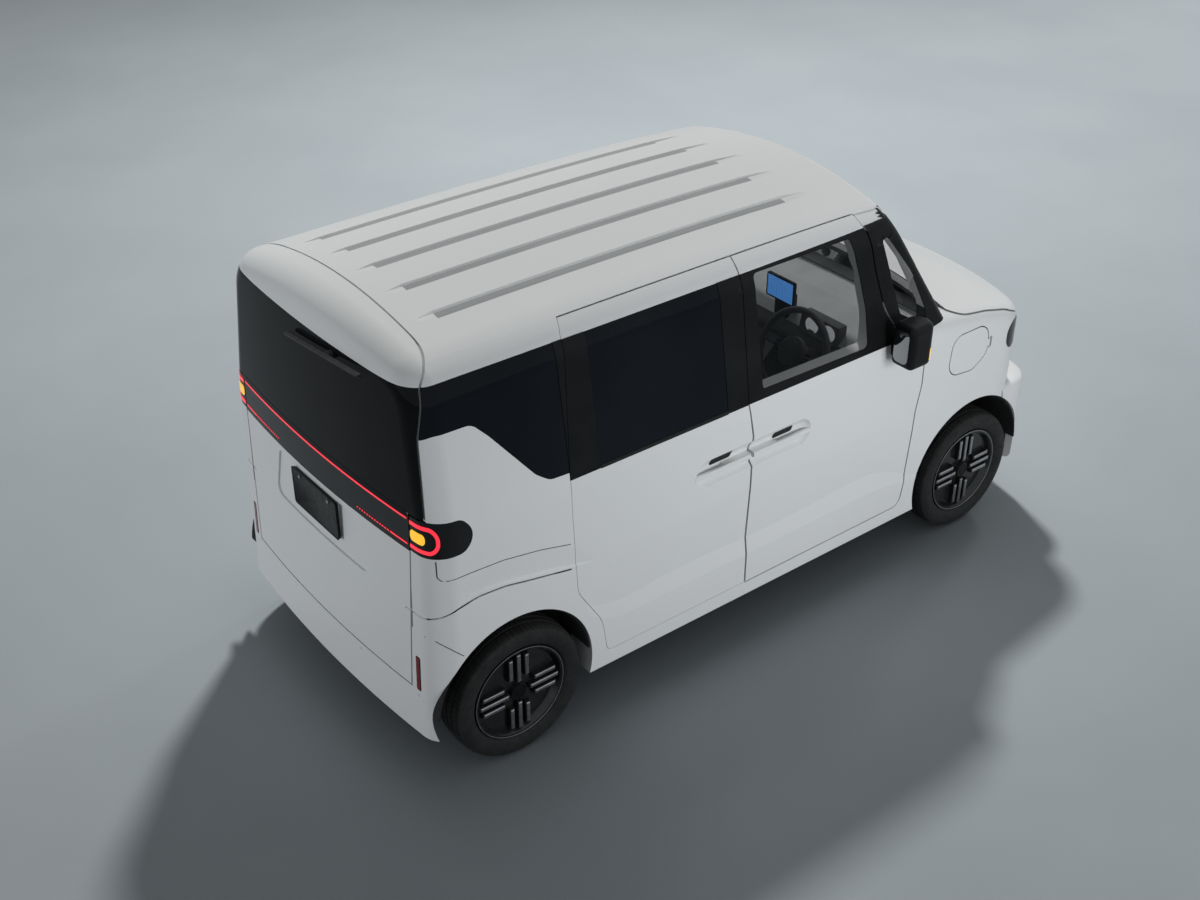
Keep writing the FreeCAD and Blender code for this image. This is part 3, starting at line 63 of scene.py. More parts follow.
def in_scene(name, data):
    """A new object of the scene that holds the data."""
    thing = bpy.data.objects.new(name, data)
    bpy.context.scene.collection.objects.link(thing)
    return thing


def set_camera():
    """The photo's camera, solved on the car's length, its width and its wheels."""
    data = bpy.data.cameras.new("camera")
    data.lens = 46.60
    data.sensor_width = 36.0
    data.clip_end = 200.0
    camera = in_scene("camera", data)
    camera.location = (-3.7652, -4.3878, 4.1600)
    camera.rotation_euler = (math.radians(57.672), 0.0, math.radians(-37.922))
    bpy.context.scene.camera = camera


def new_lamp(name, kind, place, shines, power, tint):
    """A lamp that shines along a direction and doesn't show in reflections."""
    data = bpy.data.lights.new(name, kind)
    data.energy = power
    data.color = tint
    lamp = in_scene(name, data)
    lamp.location = place
    lamp.visible_glossy = False
    lamp.rotation_euler = Vector(shines).to_track_quat("-Z", "Y").to_euler()
    return lamp


def soft_lamp(name, place, aim, size, watts, tint):
    """A round lamp aimed at a point."""
    lamp = new_lamp(name, "AREA", place, Vector(aim) - Vector(place), watts, tint)
    lamp.data.shape = "DISK"
    lamp.data.size = size
    return lamp


def far_lamp(name, towards, strength, spread, tint):
    """A distant lamp whose light is parallel; spread is the angle that softens its shadows."""
    lamp = new_lamp(name, "SUN", Vector(towards) * 8.0, -Vector(towards), strength, tint)
    lamp.data.angle = math.radians(spread)
    return lamp


def aimed_past(lamp, floor, floor_only=False):
    """The lamp lights all but the floor, or the floor alone."""
    reach = bpy.data.collections.new(lamp.name + "_reach")
    reach.objects.link(floor)
    reach.collection_objects[0].light_linking.link_state = "INCLUDE" if floor_only else "EXCLUDE"
    lamp.light_linking.receiver_collection = reach


def set_lamps(floor):
    """A sun and two fills light the car; two more lamps light the floor and give the shadow on it."""
    for lamp in (far_lamp("key_lamp", (0.64, 0.80, 1.0), 2.35, 6.0, WARM_WHITE),
                 soft_lamp("side_lamp", (0.4, -4.2, 1.7), (0.1, -0.7, 0.9), 1.8, 75.0, COOL_WHITE),
                 soft_lamp("tail_lamp", (-7.4, 0.9, 1.6), (-1.6, 0.2, 0.9), 2.4, 108.0, COOL_WHITE)):
        aimed_past(lamp, floor)
    for lamp in (soft_lamp("floor_lamp", (3.4, 4.6, 8.5), (0.0, 0.0, 0.0), 0.9, 640.0, WARM_WHITE),
                 soft_lamp("far_floor_lamp", (11.0, 3.0, 7.0), (11.0, 3.0, 0.0), 2.0, 260.0, WARM_WHITE)):
        aimed_past(lamp, floor, True)


def new_node(tree, kind, values, sources, **settings):
    """A shader node: its settings, its inputs' values, and the outputs that feed its inputs."""
    node = tree.nodes.new("ShaderNode" + kind)
    for key, value in settings.items():
        setattr(node, key, value)
    for key, value in values.items():
        node.inputs[key].default_value = value
    for key, source in sources.items():
        tree.links.new(source, node.inputs[key])
    return node


def seen_directly(tree):
    """1 where the camera, a reflection or glass looks at the surface, 0 for the light it gives."""
    path = tree.nodes.new("ShaderNodeLightPath")
    seen = path.outputs["Is Camera Ray"]
    for ray in ("Is Glossy Ray", "Is Transmission Ray"):
        seen = new_node(tree, "Math", {}, {0: seen, 1: path.outputs[ray]}, operation="MAXIMUM").outputs[0]
    return seen


def set_world():
    """A weak, even light from all round that shows as a plain pale grey."""
    world = bpy.data.worlds.new("studio")
    bpy.context.scene.world = world
    world.use_nodes = True
    tree = world.node_tree
    light = tree.nodes["Background"]
    light.inputs["Color"].default_value = (0.95, 0.98, 1.0, 1.0)
    light.inputs["Strength"].default_value = 0.15
    shown = new_node(tree, "Background", {"Color": (0.62, 0.65, 0.67, 1.0), "Strength": 1.0}, {})
    sources = {"Fac": seen_directly(tree), 1: light.outputs[0], 2: shown.outputs[0]}
    choose = new_node(tree, "MixShader", {}, sources)
    tree.links.new(choose.outputs[0], tree.nodes["World Output"].inputs["Surface"])


def lay_floor():
    deselect()
    bpy.ops.mesh.primitive_plane_add(size=FLOOR_SIZE, location=(0.0, 0.0, 0.0))
    floor = bpy.context.object
    floor.name = "studio_floor"
    grey = surface("floor_grey", (0.46, 0.51, 0.54), (0.50, 0.55, 0.58), (0.75, 0.9), ("noise", 38.0, 0.06),
                   patch=0.7)
    floor.data.materials.append(grey)
    return floor


# Finishes

def surface(name, dark, light, rough, relief, patch=5.0, metal=0.0, coat=0.0, alpha=1.0, sheen=0.0,
            spec=0.5, speckle=None):
    """A finish with mottled colour, uneven gloss and a fine relief, all on the object's own place."""
    look = bpy.data.materials.new(name)
    look.use_nodes = True
    tree = look.node_tree
    shader = tree.nodes["Principled BSDF"]
    for key, value in (("Metallic", metal), ("Coat Weight", coat), ("Coat Roughness", 0.04), ("Alpha", alpha),
                       ("Sheen Weight", sheen), ("Specular IOR Level", spec)):
        shader.inputs[key].default_value = value
    place = tree.nodes.new("ShaderNodeTexCoord").outputs["Object"]

    mottle = new_node(tree, "TexNoise", {"Scale": patch, "Detail": 4.0}, {"Vector": place})
    tones = new_node(tree, "ValToRGB", {}, {"Fac": mottle.outputs["Fac"]})
    for stop, position, tone in zip(tones.color_ramp.elements, (0.32, 0.68), (dark, light)):
        stop.position = position
        stop.color = (*tone, 1.0)
    colour = tones.outputs["Color"]
    if speckle:
        scale, tint, amount = speckle
        flakes = new_node(tree, "TexVoronoi", {"Scale": scale}, {"Vector": place})
        fade = ranged(tree, flakes.outputs["Distance"], 0.0, 0.35, amount, 0.0)
        blend = new_node(tree, "Mix", {"B": (*tint, 1.0)}, {"Factor": fade.outputs[0], "A": colour},
                         data_type="RGBA")
        colour = blend.outputs["Result"]
    tree.links.new(colour, shader.inputs["Base Color"])

    wear = new_node(tree, "TexNoise", {"Scale": patch * 3.7, "Detail": 3.0}, {"Vector": place})
    gloss = ranged(tree, wear.outputs["Fac"], 0.3, 0.7, *rough)
    tree.links.new(gloss.outputs[0], shader.inputs["Roughness"])

    kind, scale, strength = relief
    bump = new_node(tree, "Bump", {"Strength": strength, "Distance": 0.002},
                    {"Height": relief_height(tree, place, kind, scale)})
    tree.links.new(bump.outputs["Normal"], shader.inputs["Normal"])
    finish[name] = look
    return look


def ranged(tree, source, low, high, new_low, new_high):
    """A value from low to high is spread from new_low to new_high."""
    values = {"From Min": low, "From Max": high, "To Min": new_low, "To Max": new_high}
    return new_node(tree, "MapRange", values, {"Value": source})


def relief_height(tree, place, kind, scale):
    """The height field of a woven, a grained or a plainly uneven surface."""
    if kind == "weave":
        values, sources = {"Scale": scale, "Distortion": 0.6}, {"Vector": place}
        warp, weft = [new_node(tree, "TexWave", values, sources, bands_direction=way) for way in ("X", "Z")]
        crossing = {0: warp.outputs["Fac"], 1: weft.outputs["Fac"]}
        return new_node(tree, "Math", {}, crossing, operation="MULTIPLY").outputs[0]
    if kind == "grain":
        return new_node(tree, "TexVoronoi", {"Scale": scale}, {"Vector": place}).outputs["Distance"]
    return new_node(tree, "TexNoise", {"Scale": scale, "Detail": 5.0}, {"Vector": place}).outputs["Fac"]


def lit_surface(name, colour, glow, stripes):
    """A lamp surface that glows through fine ribs."""
    look = surface(name, [c * 0.8 for c in colour], colour, (0.12, 0.25), ("noise", 300.0, 0.1), patch=30.0,
                   coat=0.5)
    tree = look.node_tree
    shader = tree.nodes["Principled BSDF"]
    ribs = new_node(tree, "TexWave", {"Scale": stripes, "Distortion": 0.3},
                    {"Vector": tree.nodes["Texture Coordinate"].outputs["Object"]}, bands_direction="Y")
    shade = new_node(tree, "ValToRGB", {}, {"Fac": ribs.outputs["Fac"]})
    shade.color_ramp.elements[0].color = (*[c * 0.75 for c in colour], 1.0)
    shade.color_ramp.elements[1].color = (*colour, 1.0)
    tree.links.new(shade.outputs["Color"], shader.inputs["Emission Color"])
    shader.inputs["Emission Strength"].default_value = glow


def make_paint_and_glass():
    surface("white_pearl", (0.765, 0.775, 0.775), (0.775, 0.785, 0.785), (0.36, 0.40),
            ("noise", 900.0, 0.004), patch=1.4, coat=0.06, spec=0.22,
            speckle=(2600.0, (0.86, 0.89, 0.92), 0.25))
    # Painted shade for the roof channels' bottoms: a grey in place of the shade that falls in them.
    surface("channel_grey", (0.36, 0.37, 0.375), (0.39, 0.40, 0.405), (0.45, 0.55), ("noise", 500.0, 0.02),
            patch=3.0, spec=0.2)
    surface("gloss_black", (0.006, 0.0065, 0.007), (0.009, 0.0095, 0.010), (0.06, 0.14),
            ("noise", 300.0, 0.01), patch=4.0, spec=0.08)
    surface("tail_black", (0.006, 0.007, 0.008), (0.010, 0.011, 0.012), (0.10, 0.20), ("noise", 240.0, 0.01),
            patch=6.0, spec=0.3)
    surface("dark_glass", (0.008, 0.010, 0.013), (0.012, 0.014, 0.018), (0.03, 0.07), ("noise", 3.0, 0.01),
            patch=2.0, spec=0.06, alpha=0.985)
    surface("clear_glass", (0.010, 0.014, 0.016), (0.014, 0.018, 0.020), (0.01, 0.03), ("noise", 3.0, 0.01),
            patch=2.0, alpha=0.14)
    surface("lamp_lens", (0.02, 0.022, 0.024), (0.03, 0.032, 0.035), (0.03, 0.06), ("noise", 120.0, 0.01),
            patch=9.0, alpha=0.55)
    surface("mirror_silver", (0.30, 0.31, 0.32), (0.34, 0.35, 0.36), (0.02, 0.05), ("noise", 4.0, 0.01),
            patch=4.0, metal=1.0)


def make_lamp_finishes():
    lit_surface("red_glow", (0.95, 0.03, 0.055), 0.95, 160.0)
    lit_surface("amber_glow", (1.0, 0.56, 0.03), 0.75, 90.0)
    lit_surface("screen_blue", (0.07, 0.24, 0.62), 0.8, 18.0)
    lit_surface("lamp_white", (0.85, 0.88, 0.92), 0.25, 120.0)
    surface("red_reflector", (0.16, 0.004, 0.010), (0.24, 0.006, 0.014), (0.12, 0.2), ("grain", 260.0, 0.5),
            patch=40.0, coat=0.6)


def make_plastics_and_rubber():
    surface("grained_black", (0.016, 0.0165, 0.017), (0.026, 0.0265, 0.027), (0.42, 0.60),
            ("grain", 900.0, 0.25), patch=9.0)
    surface("pillar_black", (0.008, 0.0085, 0.009), (0.012, 0.0125, 0.013), (0.30, 0.42),
            ("grain", 1100.0, 0.06), patch=7.0, spec=0.12)
    surface("plate_black", (0.006, 0.0065, 0.007), (0.010, 0.0105, 0.011), (0.30, 0.42),
            ("noise", 200.0, 0.03), patch=10.0, spec=0.12)
    surface("rubber", (0.013, 0.013, 0.013), (0.022, 0.022, 0.022), (0.60, 0.85), ("noise", 260.0, 0.2),
            patch=14.0, spec=0.35)
    surface("dash_skin", (0.055, 0.058, 0.062), (0.080, 0.083, 0.088), (0.50, 0.66), ("grain", 650.0, 0.3),
            patch=8.0)
    surface("dash_pale", (0.50, 0.52, 0.53), (0.58, 0.60, 0.61), (0.45, 0.6), ("grain", 650.0, 0.2),
            patch=8.0)


def make_metals():
    surface("wheel_grey", (0.012, 0.0125, 0.013), (0.018, 0.0185, 0.019), (0.18, 0.28),
            ("noise", 500.0, 0.03), patch=12.0, metal=0.2, speckle=(2400.0, (0.16, 0.16, 0.17), 0.25))
    surface("wheel_silver", (0.30, 0.305, 0.315), (0.40, 0.405, 0.42), (0.24, 0.34), ("noise", 520.0, 0.03),
            patch=22.0, metal=0.9, speckle=(2400.0, (0.50, 0.50, 0.52), 0.2))
    surface("plate_edge", (0.30, 0.31, 0.32), (0.38, 0.39, 0.40), (0.25, 0.4), ("noise", 300.0, 0.05),
            patch=30.0, metal=0.8)
    surface("steel_black", (0.020, 0.021, 0.022), (0.040, 0.041, 0.042), (0.45, 0.65),
            ("noise", 160.0, 0.12), patch=11.0, metal=0.4)
    surface("steel_primed", (0.16, 0.165, 0.17), (0.22, 0.225, 0.23), (0.40, 0.55), ("noise", 140.0, 0.06),
            patch=6.0, metal=0.3)
    surface("alloy_cast", (0.26, 0.265, 0.27), (0.36, 0.365, 0.37), (0.38, 0.55), ("noise", 220.0, 0.14),
            patch=10.0, metal=0.7)
    surface("pack_shell", (0.05, 0.052, 0.055), (0.075, 0.078, 0.08), (0.45, 0.6), ("noise", 90.0, 0.08),
            patch=5.0, metal=0.3)


def make_cloths():
    surface("wheel_leather", (0.030, 0.031, 0.033), (0.050, 0.051, 0.053), (0.42, 0.58),
            ("grain", 480.0, 0.35), patch=18.0)
    surface("seat_cloth", (0.20, 0.205, 0.21), (0.27, 0.275, 0.28), (0.80, 0.95), ("weave", 300.0, 0.5),
            patch=16.0, sheen=0.3)
    surface("floor_carpet", (0.030, 0.031, 0.033), (0.055, 0.056, 0.058), (0.9, 1.0), ("noise", 520.0, 0.8),
            patch=30.0, sheen=0.25)
    surface("liner_felt", (0.010, 0.010, 0.010), (0.018, 0.018, 0.018), (0.85, 0.98), ("noise", 300.0, 0.5),
            patch=20.0)


NODE_FINISH = {
    "white_pearl": "body_side_right body_side_left sliding_door_right sliding_door_left door_front_right "
                   "door_front_left roof_panel tailgate rear_bumper front_fenders front_bumper bonnet "
                   "charge_lid",
    "clear_glass": "front_glass door_glass_right door_glass_left",
    "dark_glass": "privacy_glass",
    "gloss_black": "tailgate_glass",
    "pillar_black": "pillar_trims door_trim_right door_trim_left",
    "grained_black": "rear_wiper",
    "tail_black": "tail_lamps tailgate_lamp_bar",
    "lamp_lens": "headlamps",
    "steel_primed": "front_structure",
    "steel_black": "front_suspension rear_axle knuckle_right knuckle_left",
    "pack_shell": "battery_pack",
    "alloy_cast": "drive_unit",
    "floor_carpet": "floor_pan",
    "dash_skin": "dashboard",
    "wheel_leather": "steering_wheel",
    "seat_cloth": "seats",
    "liner_felt": "wheel_arch_liners",
    "rubber": "tyre_front_right tyre_front_left tyre_rear_right tyre_rear_left",
    "wheel_grey": "rim_front_right rim_front_left rim_rear_right rim_rear_left",
}


def finish_nodes():
    for look, members in NODE_FINISH.items():
        for member in members.split():
            slots = nodes[member].data.materials
            slots.clear()
            slots.append(finish[look])


# Shaping helpers

def deselect():
    if bpy.context.object and bpy.context.object.mode != "OBJECT":
        bpy.ops.object.mode_set(mode="OBJECT")
    bpy.ops.object.select_all(action="DESELECT")


def take(piece):
    deselect()
    piece.select_set(True)
    bpy.context.view_layer.objects.active = piece


def leave():
    bpy.ops.object.mode_set(mode="OBJECT")


def edit_all(piece):
    """Edit mode with everything selected."""
    take(piece)
    bpy.ops.object.mode_set(mode="EDIT")
    bpy.ops.mesh.select_all(action="SELECT")


def settled(piece):
    """Place, turn and scale go into the mesh."""
    take(piece)
    bpy.ops.object.transform_apply(location=True, rotation=True, scale=True)
    return piece


def aligned(name, aim):
    """The object just added gets its name, and its Z axis is turned along a direction."""
    piece = bpy.context.object
    piece.name = name
    piece.rotation_mode = "QUATERNION"
    piece.rotation_quaternion = Vector(aim).to_track_quat("Z", "Y")
    return settled(piece)


def block(name, low, high):
    deselect()
    low, high = Vector(low), Vector(high)
    bpy.ops.mesh.primitive_cube_add(size=1.0, location=(low + high) / 2)
    piece = bpy.context.object
    piece.name = name
    piece.scale = high - low
    return settled(piece)


def drum(name, radius, long, place, aim, sides=48):
    deselect()
    bpy.ops.mesh.primitive_cylinder_add(vertices=sides, radius=radius, depth=long, location=place)
    return aligned(name, aim)


def ring(name, radius, thick, place, aim, around=64, section=12):
    deselect()
    bpy.ops.mesh.primitive_torus_add(major_radius=radius, minor_radius=thick, major_segments=around,
                                     minor_segments=section, location=place)
    return aligned(name, aim)


def strip(name, low, high, cuts, flat_axis):
    """A flat strip divided into squares; low and high are equal along the flat axis, its normal."""
    deselect()
    low, high = Vector(low), Vector(high)
    span = high - low
    bpy.ops.mesh.primitive_grid_add(x_subdivisions=cuts[0], y_subdivisions=cuts[1], size=1.0)
    piece = bpy.context.object
    piece.name = name
    wide, tall = [reach for axis, reach in zip("XYZ", span) if axis != flat_axis]
    piece.scale = (wide, tall, 1.0)
    if flat_axis != "Z":
        piece.rotation_euler = (math.pi / 2, 0.0, -math.pi / 2 if flat_axis == "X" else 0.0)
    piece.location = (low + high) / 2
    return settled(piece)


def applied(piece, kind, **settings):
    take(piece)
    change = piece.modifiers.new(kind.lower(), kind)
    for key, value in settings.items():
        setattr(change, key, value)
    bpy.ops.object.modifier_apply(modifier=change.name)
    return piece


def softened(piece, width, steps=3, limit=40.0):
    return applied(piece, "BEVEL", width=width, segments=steps, limit_method="ANGLE",
                   angle_limit=math.radians(limit))


def pick(piece, test, kind="FACE"):
    """Edit mode with the faces (or edges, or vertices) that pass the test selected."""
    take(piece)
    bpy.ops.object.mode_set(mode="EDIT")
    bpy.ops.mesh.select_mode(type=kind)
    bpy.ops.mesh.select_all(action="DESELECT")
    shell = bmesh.from_edit_mesh(piece.data)
    if kind == "FACE":
        for face in shell.faces:
            face.select_set(test(face.calc_center_median(), face.normal))
    elif kind == "EDGE":
        for edge in shell.edges:
            edge.select_set(test(edge.verts[0].co, edge.verts[1].co))
    else:
        for point in shell.verts:
            point.select_set(test(point.co))
    shell.select_flush_mode()
    bmesh.update_edit_mesh(piece.data)


def inset(piece, test, *steps):
    """The faces that pass the test are inset in steps of (thickness, depth)."""
    pick(piece, test)
    for thickness, depth in steps:
        bpy.ops.mesh.inset(thickness=thickness, depth=depth)
    leave()


def shifted(piece, test, way):
    """The vertices that pass the test are moved."""
    pick(piece, test, "VERT")
    bpy.ops.transform.translate(value=way)
    leave()


def round_corners(piece, radius, steps):
    """The four edges that run along X are rounded."""
    pick(piece, lambda a, b: abs(a.x - b.x) > 0.001, "EDGE")
    bpy.ops.mesh.bevel(offset=radius, segments=steps)
    leave()


def refined(piece, cuts):
    """A flat plate is cut finely enough to follow a curved panel."""
    edit_all(applied(piece, "TRIANGULATE"))
    bpy.ops.mesh.subdivide(number_cuts=cuts)
    leave()


def grouped(name, pieces):
    """Several pieces made one."""
    deselect()
    for piece in pieces:
        piece.select_set(True)
    bpy.context.view_layer.objects.active = pieces[0]
    bpy.ops.object.join()
    pieces[0].name = name
    return pieces[0]


def copied(piece, name, shift=(0, 0, 0), flip=False):
    """A copy with its own mesh, moved, or mirrored to the other side of the car."""
    take(piece)
    bpy.ops.object.duplicate(linked=False)
    twin = bpy.context.object
    twin.name = name
    twin.location = Vector(twin.location) + Vector(shift)
    if flip:
        twin.scale.y *= -1.0
    settled(twin)
    if flip:
        edit_all(twin)
        bpy.ops.mesh.normals_make_consistent(inside=False)
        leave()
    return twin


def removed(*pieces):
    for piece in pieces:
        bpy.data.objects.remove(piece)


def put(piece, body, look, angle=35.0):
    """The piece's finish, its smooth shading and the body that it rides on."""
    take(piece)
    bpy.ops.object.shade_smooth_by_angle(angle=math.radians(angle))
    piece.data.materials.clear()
    piece.data.materials.append(finish[look])
    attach(piece, body)
    return piece


def put_both(piece, body, look):
    """A piece of the right side and its mirrored copy on the left, each on the body of its side."""
    twin = copied(piece, piece.name.replace("right", "left"), flip=True)
    put(twin, body.replace("right", "left"), look)
    put(piece, body, look)


def laid_on(piece, panels, towards, proud=0.0006):
    """The piece's points slide along one direction until they lie on the first of the CAD panels."""
    way = Vector(towards).normalized()
    for point in piece.data.vertices:
        start = point.co - way * 0.5
        casts = [nodes[panel].ray_cast(start, way) for panel in panels.split()]
        met = [where for hit, where, _, _ in casts if hit]
        if met:
            point.co = min(met, key=lambda where: (where - start).length) - way * proud
    piece.data.update()
    return piece


def wrapped_on(piece, panel, axis, proud=0.0006):
    """The piece's points slide towards an upright axis until they lie on a CAD panel."""
    for point in piece.data.vertices:
        out = Vector((point.co.x - axis[0], point.co.y - axis[1], 0.0)).normalized()
        start = Vector((axis[0], axis[1], point.co.z)) + out
        hit, where, _, _ = nodes[panel].ray_cast(start, -out)
        if hit:
            point.co = where + out * proud
    piece.data.update()
    return piece


def facing_out(piece):
    """The faces of an open sheet are turned away from the car's middle."""
    side = sum(face.area * (face.center.x * face.normal.x + face.center.y * face.normal.y)
               for face in piece.data.polygons)
    if side < 0:
        edit_all(piece)
        bpy.ops.mesh.flip_normals()
        leave()
    return piece


def thickened(piece, thick):
    """Walls given to a laid sheet, outwards from its panel."""
    return applied(facing_out(piece), "SOLIDIFY", thickness=thick, offset=1.0)


def outer_sheet(name, node, cuts, facing, thick, look, least=0.55, proud=0.0002):
    """A sheet over part of a CAD node, on the body: a copy of its mesh is merged and cut by planes, and
    the faces whose normal follows facing by at least the least cosine are kept and thickened outwards."""
    deselect()
    piece = in_scene(name, nodes[node].data.copy())
    edit_all(piece)
    bpy.ops.mesh.remove_doubles(threshold=0.00002)
    for where, clear in cuts:
        bpy.ops.mesh.select_all(action="SELECT")
        bpy.ops.mesh.bisect(plane_co=where, plane_no=clear, clear_outer=True)
    leave()
    pick(piece, lambda c, n: n.dot(Vector(facing)) < least)
    bpy.ops.mesh.delete(type="FACE")
    leave()
    for point in piece.data.vertices:
        point.co += Vector(facing) * proud
    put(applied(piece, "SOLIDIFY", thickness=thick, offset=1.0), "body", look)


def oblong(name, length, height, round_end):
    """A flat plate in XY from the origin, with corners rounded by round_end."""
    deselect()
    bpy.ops.mesh.primitive_circle_add(vertices=48, radius=round_end, fill_type="NGON")
    piece = bpy.context.object
    piece.name = name
    shifted(piece, lambda p: p.x > 0.0001, (length - 2 * round_end, 0.0, 0.0))
    shifted(piece, lambda p: p.y > 0.0001, (0.0, height - 2 * round_end, 0.0))
    take(piece)
    piece.location = (round_end, round_end, 0.0)
    return settled(piece)


# Tail lamps: a thin line over the whole bar, a lower line that breaks into dashes, and the corner rings

BAR_HALF = 0.588
BAR_CUTS = (60, 2)
LAMP_LAYER = 0.0012
DASHES = 13
DASH_PITCH = 0.0155
CORNER_X, CORNER_Y, CORNER_BEND = -1.56, 0.628, 0.105
CORNER_FLAT = 0.028


def tail_lines():
    upper = strip("tail_line_upper", (BEHIND, -BAR_HALF, 1.1585), (BEHIND, BAR_HALF, 1.1655), BAR_CUTS, "X")
    thickened(laid_on(upper, "tailgate_lamp_bar", FORWARDS), LAMP_LAYER)
    put(upper, "tail_door", "red_glow")
    seal = strip("bar_seal", (BEHIND, -BAR_HALF, 1.1672), (BEHIND, BAR_HALF, 1.1880), BAR_CUTS, "X")
    thickened(laid_on(seal, "tailgate_lamp_bar tailgate_glass tailgate", FORWARDS, 0.0002), 0.0008)
    put(seal, "tail_door", "gloss_black")
    for word, side in SIDES:
        inner, outer = sorted((side * 0.49, side * BAR_HALF))
        runs = [strip("run", (BEHIND, inner, 1.056), (BEHIND, outer, 1.062), (10, 2), "X")]
        for count in range(DASHES):
            centre = side * (0.478 - DASH_PITCH * count)
            half = 0.0052 - 0.00018 * count
            low, high = (BEHIND, centre - half, 1.0565), (BEHIND, centre + half, 1.0615)
            runs.append(strip("dash", low, high, (3, 2), "X"))
        line = grouped("tail_dashes_" + word, runs)
        thickened(laid_on(line, "tailgate_lamp_bar", FORWARDS), LAMP_LAYER)
        put(line, "tail_door", "red_glow")


def round_corner(piece, foot):
    """A flat piece in XY, its length along X, is wrapped round the right tail corner from foot upwards."""
    for point in piece.data.vertices:
        along, up = point.co.x, point.co.y
        if along < CORNER_FLAT:
            where = (CORNER_X - CORNER_BEND, -(CORNER_Y - CORNER_FLAT + along))
        else:
            turn = min((along - CORNER_FLAT) / CORNER_BEND, math.pi / 2)
            where = (CORNER_X - CORNER_BEND * math.cos(turn), -(CORNER_Y + CORNER_BEND * math.sin(turn)))
        point.co = Vector((*where, foot + up))
    return wrapped_on(piece, "tail_lamps", (CORNER_X + 0.02, -CORNER_Y + 0.02))


def corner_lamps():
    """A red hoop round each lamp corner, open towards the tailgate, and an amber oblong within it."""
    round_end = 0.052
    hoop = oblong("tail_ring_right", 0.215, 0.110, round_end)
    pick(hoop, lambda c, n: True)
    bpy.ops.mesh.inset(thickness=0.0150, depth=0.0)
    bpy.ops.mesh.delete(type="FACE")
    bpy.ops.mesh.select_all(action="SELECT")
    bpy.ops.mesh.bisect(plane_co=(round_end + 0.004, 0, 0), plane_no=(1, 0, 0), clear_inner=True)
    leave()
    applied(hoop, "SUBSURF", levels=3, render_levels=3, subdivision_type="SIMPLE")
    amber = oblong("tail_amber_right", 0.094, 0.044, 0.019)
    refined(amber, 4)
    for piece, start, foot, look in ((hoop, -round_end, 1.0535, "red_glow"),
                                     (amber, 0.006, 1.087, "amber_glow")):
        for point in piece.data.vertices:
            point.co.x += start
        thickened(round_corner(piece, foot), 0.0016)
        put_both(piece, "body", look)


def reflectors():
    for word, side in SIDES:
        inner, outer = sorted((side * 0.6115, side * 0.6305))
        plate = strip("reflector_" + word, (BEHIND, inner, 0.438), (BEHIND, outer, 0.584), (3, 12), "X")
        thickened(laid_on(plate, "tail_lamps", FORWARDS), LAMP_LAYER)
        put(plate, "body", "red_reflector")


def sensors():
    """Small parking sensors let into the rear bumper."""
    height, proud = 0.408, 0.0015
    first = drum("sensor", 0.0105, 0.006, (0, 0, 0), FORWARDS, 32)
    softened(first, 0.0015, 2)
    for count, place in enumerate((-0.61, -0.25, 0.25, 0.61), 1):
        hit, where, _, _ = nodes["rear_bumper"].ray_cast(Vector((-2.0, place, height)), Vector(FORWARDS))
        copy = copied(first, "rear_sensor_%d" % count, (where.x + proud, place, height))
        put(copy, "body", "white_pearl")
    removed(first)


# Number plates: blank plates and the rear one's holder

PLATE_HALF = 0.165
PLATE_HIGH = 0.165
PLATE_THICK = 0.0035
REAR_PLATE_FACE = -1.6790
REAR_PLATE_HEIGHT = 0.929


def number_plate(name, face, outward, height, body):
    """A blank plate with a pressed rim and two bolts; face is the x that its back lies on."""
    far = face + outward * PLATE_THICK
    low, top = height - PLATE_HIGH / 2, height + PLATE_HIGH / 2
    plate = block(name, (min(face, far), -PLATE_HALF, low), (max(face, far), PLATE_HALF, top))
    round_corners(plate, 0.012, 4)
    inset(plate, lambda c, n: n.x * outward > 0.9, (0.005, 0.0), (0.002, -0.0012))
    softened(plate, 0.0008, 2)
    put(plate, body, "plate_black")
    bolts = [softened(drum("bolt", 0.0075, 0.004, (far, side * 0.105, top - 0.022), FORWARDS, 24), 0.001, 2)
             for side in (-1, 1)]
    put(grouped(name + "_bolts", bolts), body, "plate_edge")


def plate_holder():
    holder = block("rear_plate_holder", (REAR_PLATE_FACE, -0.160, 0.851), (-1.6675, 0.160, 1.007))
    softened(holder, 0.004, 3)
    put(holder, "tail_door", "pillar_black")


# Wheels: one tyre is spun and its tread cut, one set of bar caps is made, and both are copied

FRONT_AXLE, REAR_AXLE = 1.2, -1.28
AXLE_HEIGHT = 0.287
TYRE_MIDDLE = 0.6465
COVER_MIDDLE = 0.7105
BAR_PITCH = 0.036
CAP_HALF_WIDE, CAP_HALF_THICK = 0.0082, 0.0012
WHEELS = (("front_right", FRONT_AXLE, -1), ("front_left", FRONT_AXLE, 1),
          ("rear_right", REAR_AXLE, -1), ("rear_left", REAR_AXLE, 1))


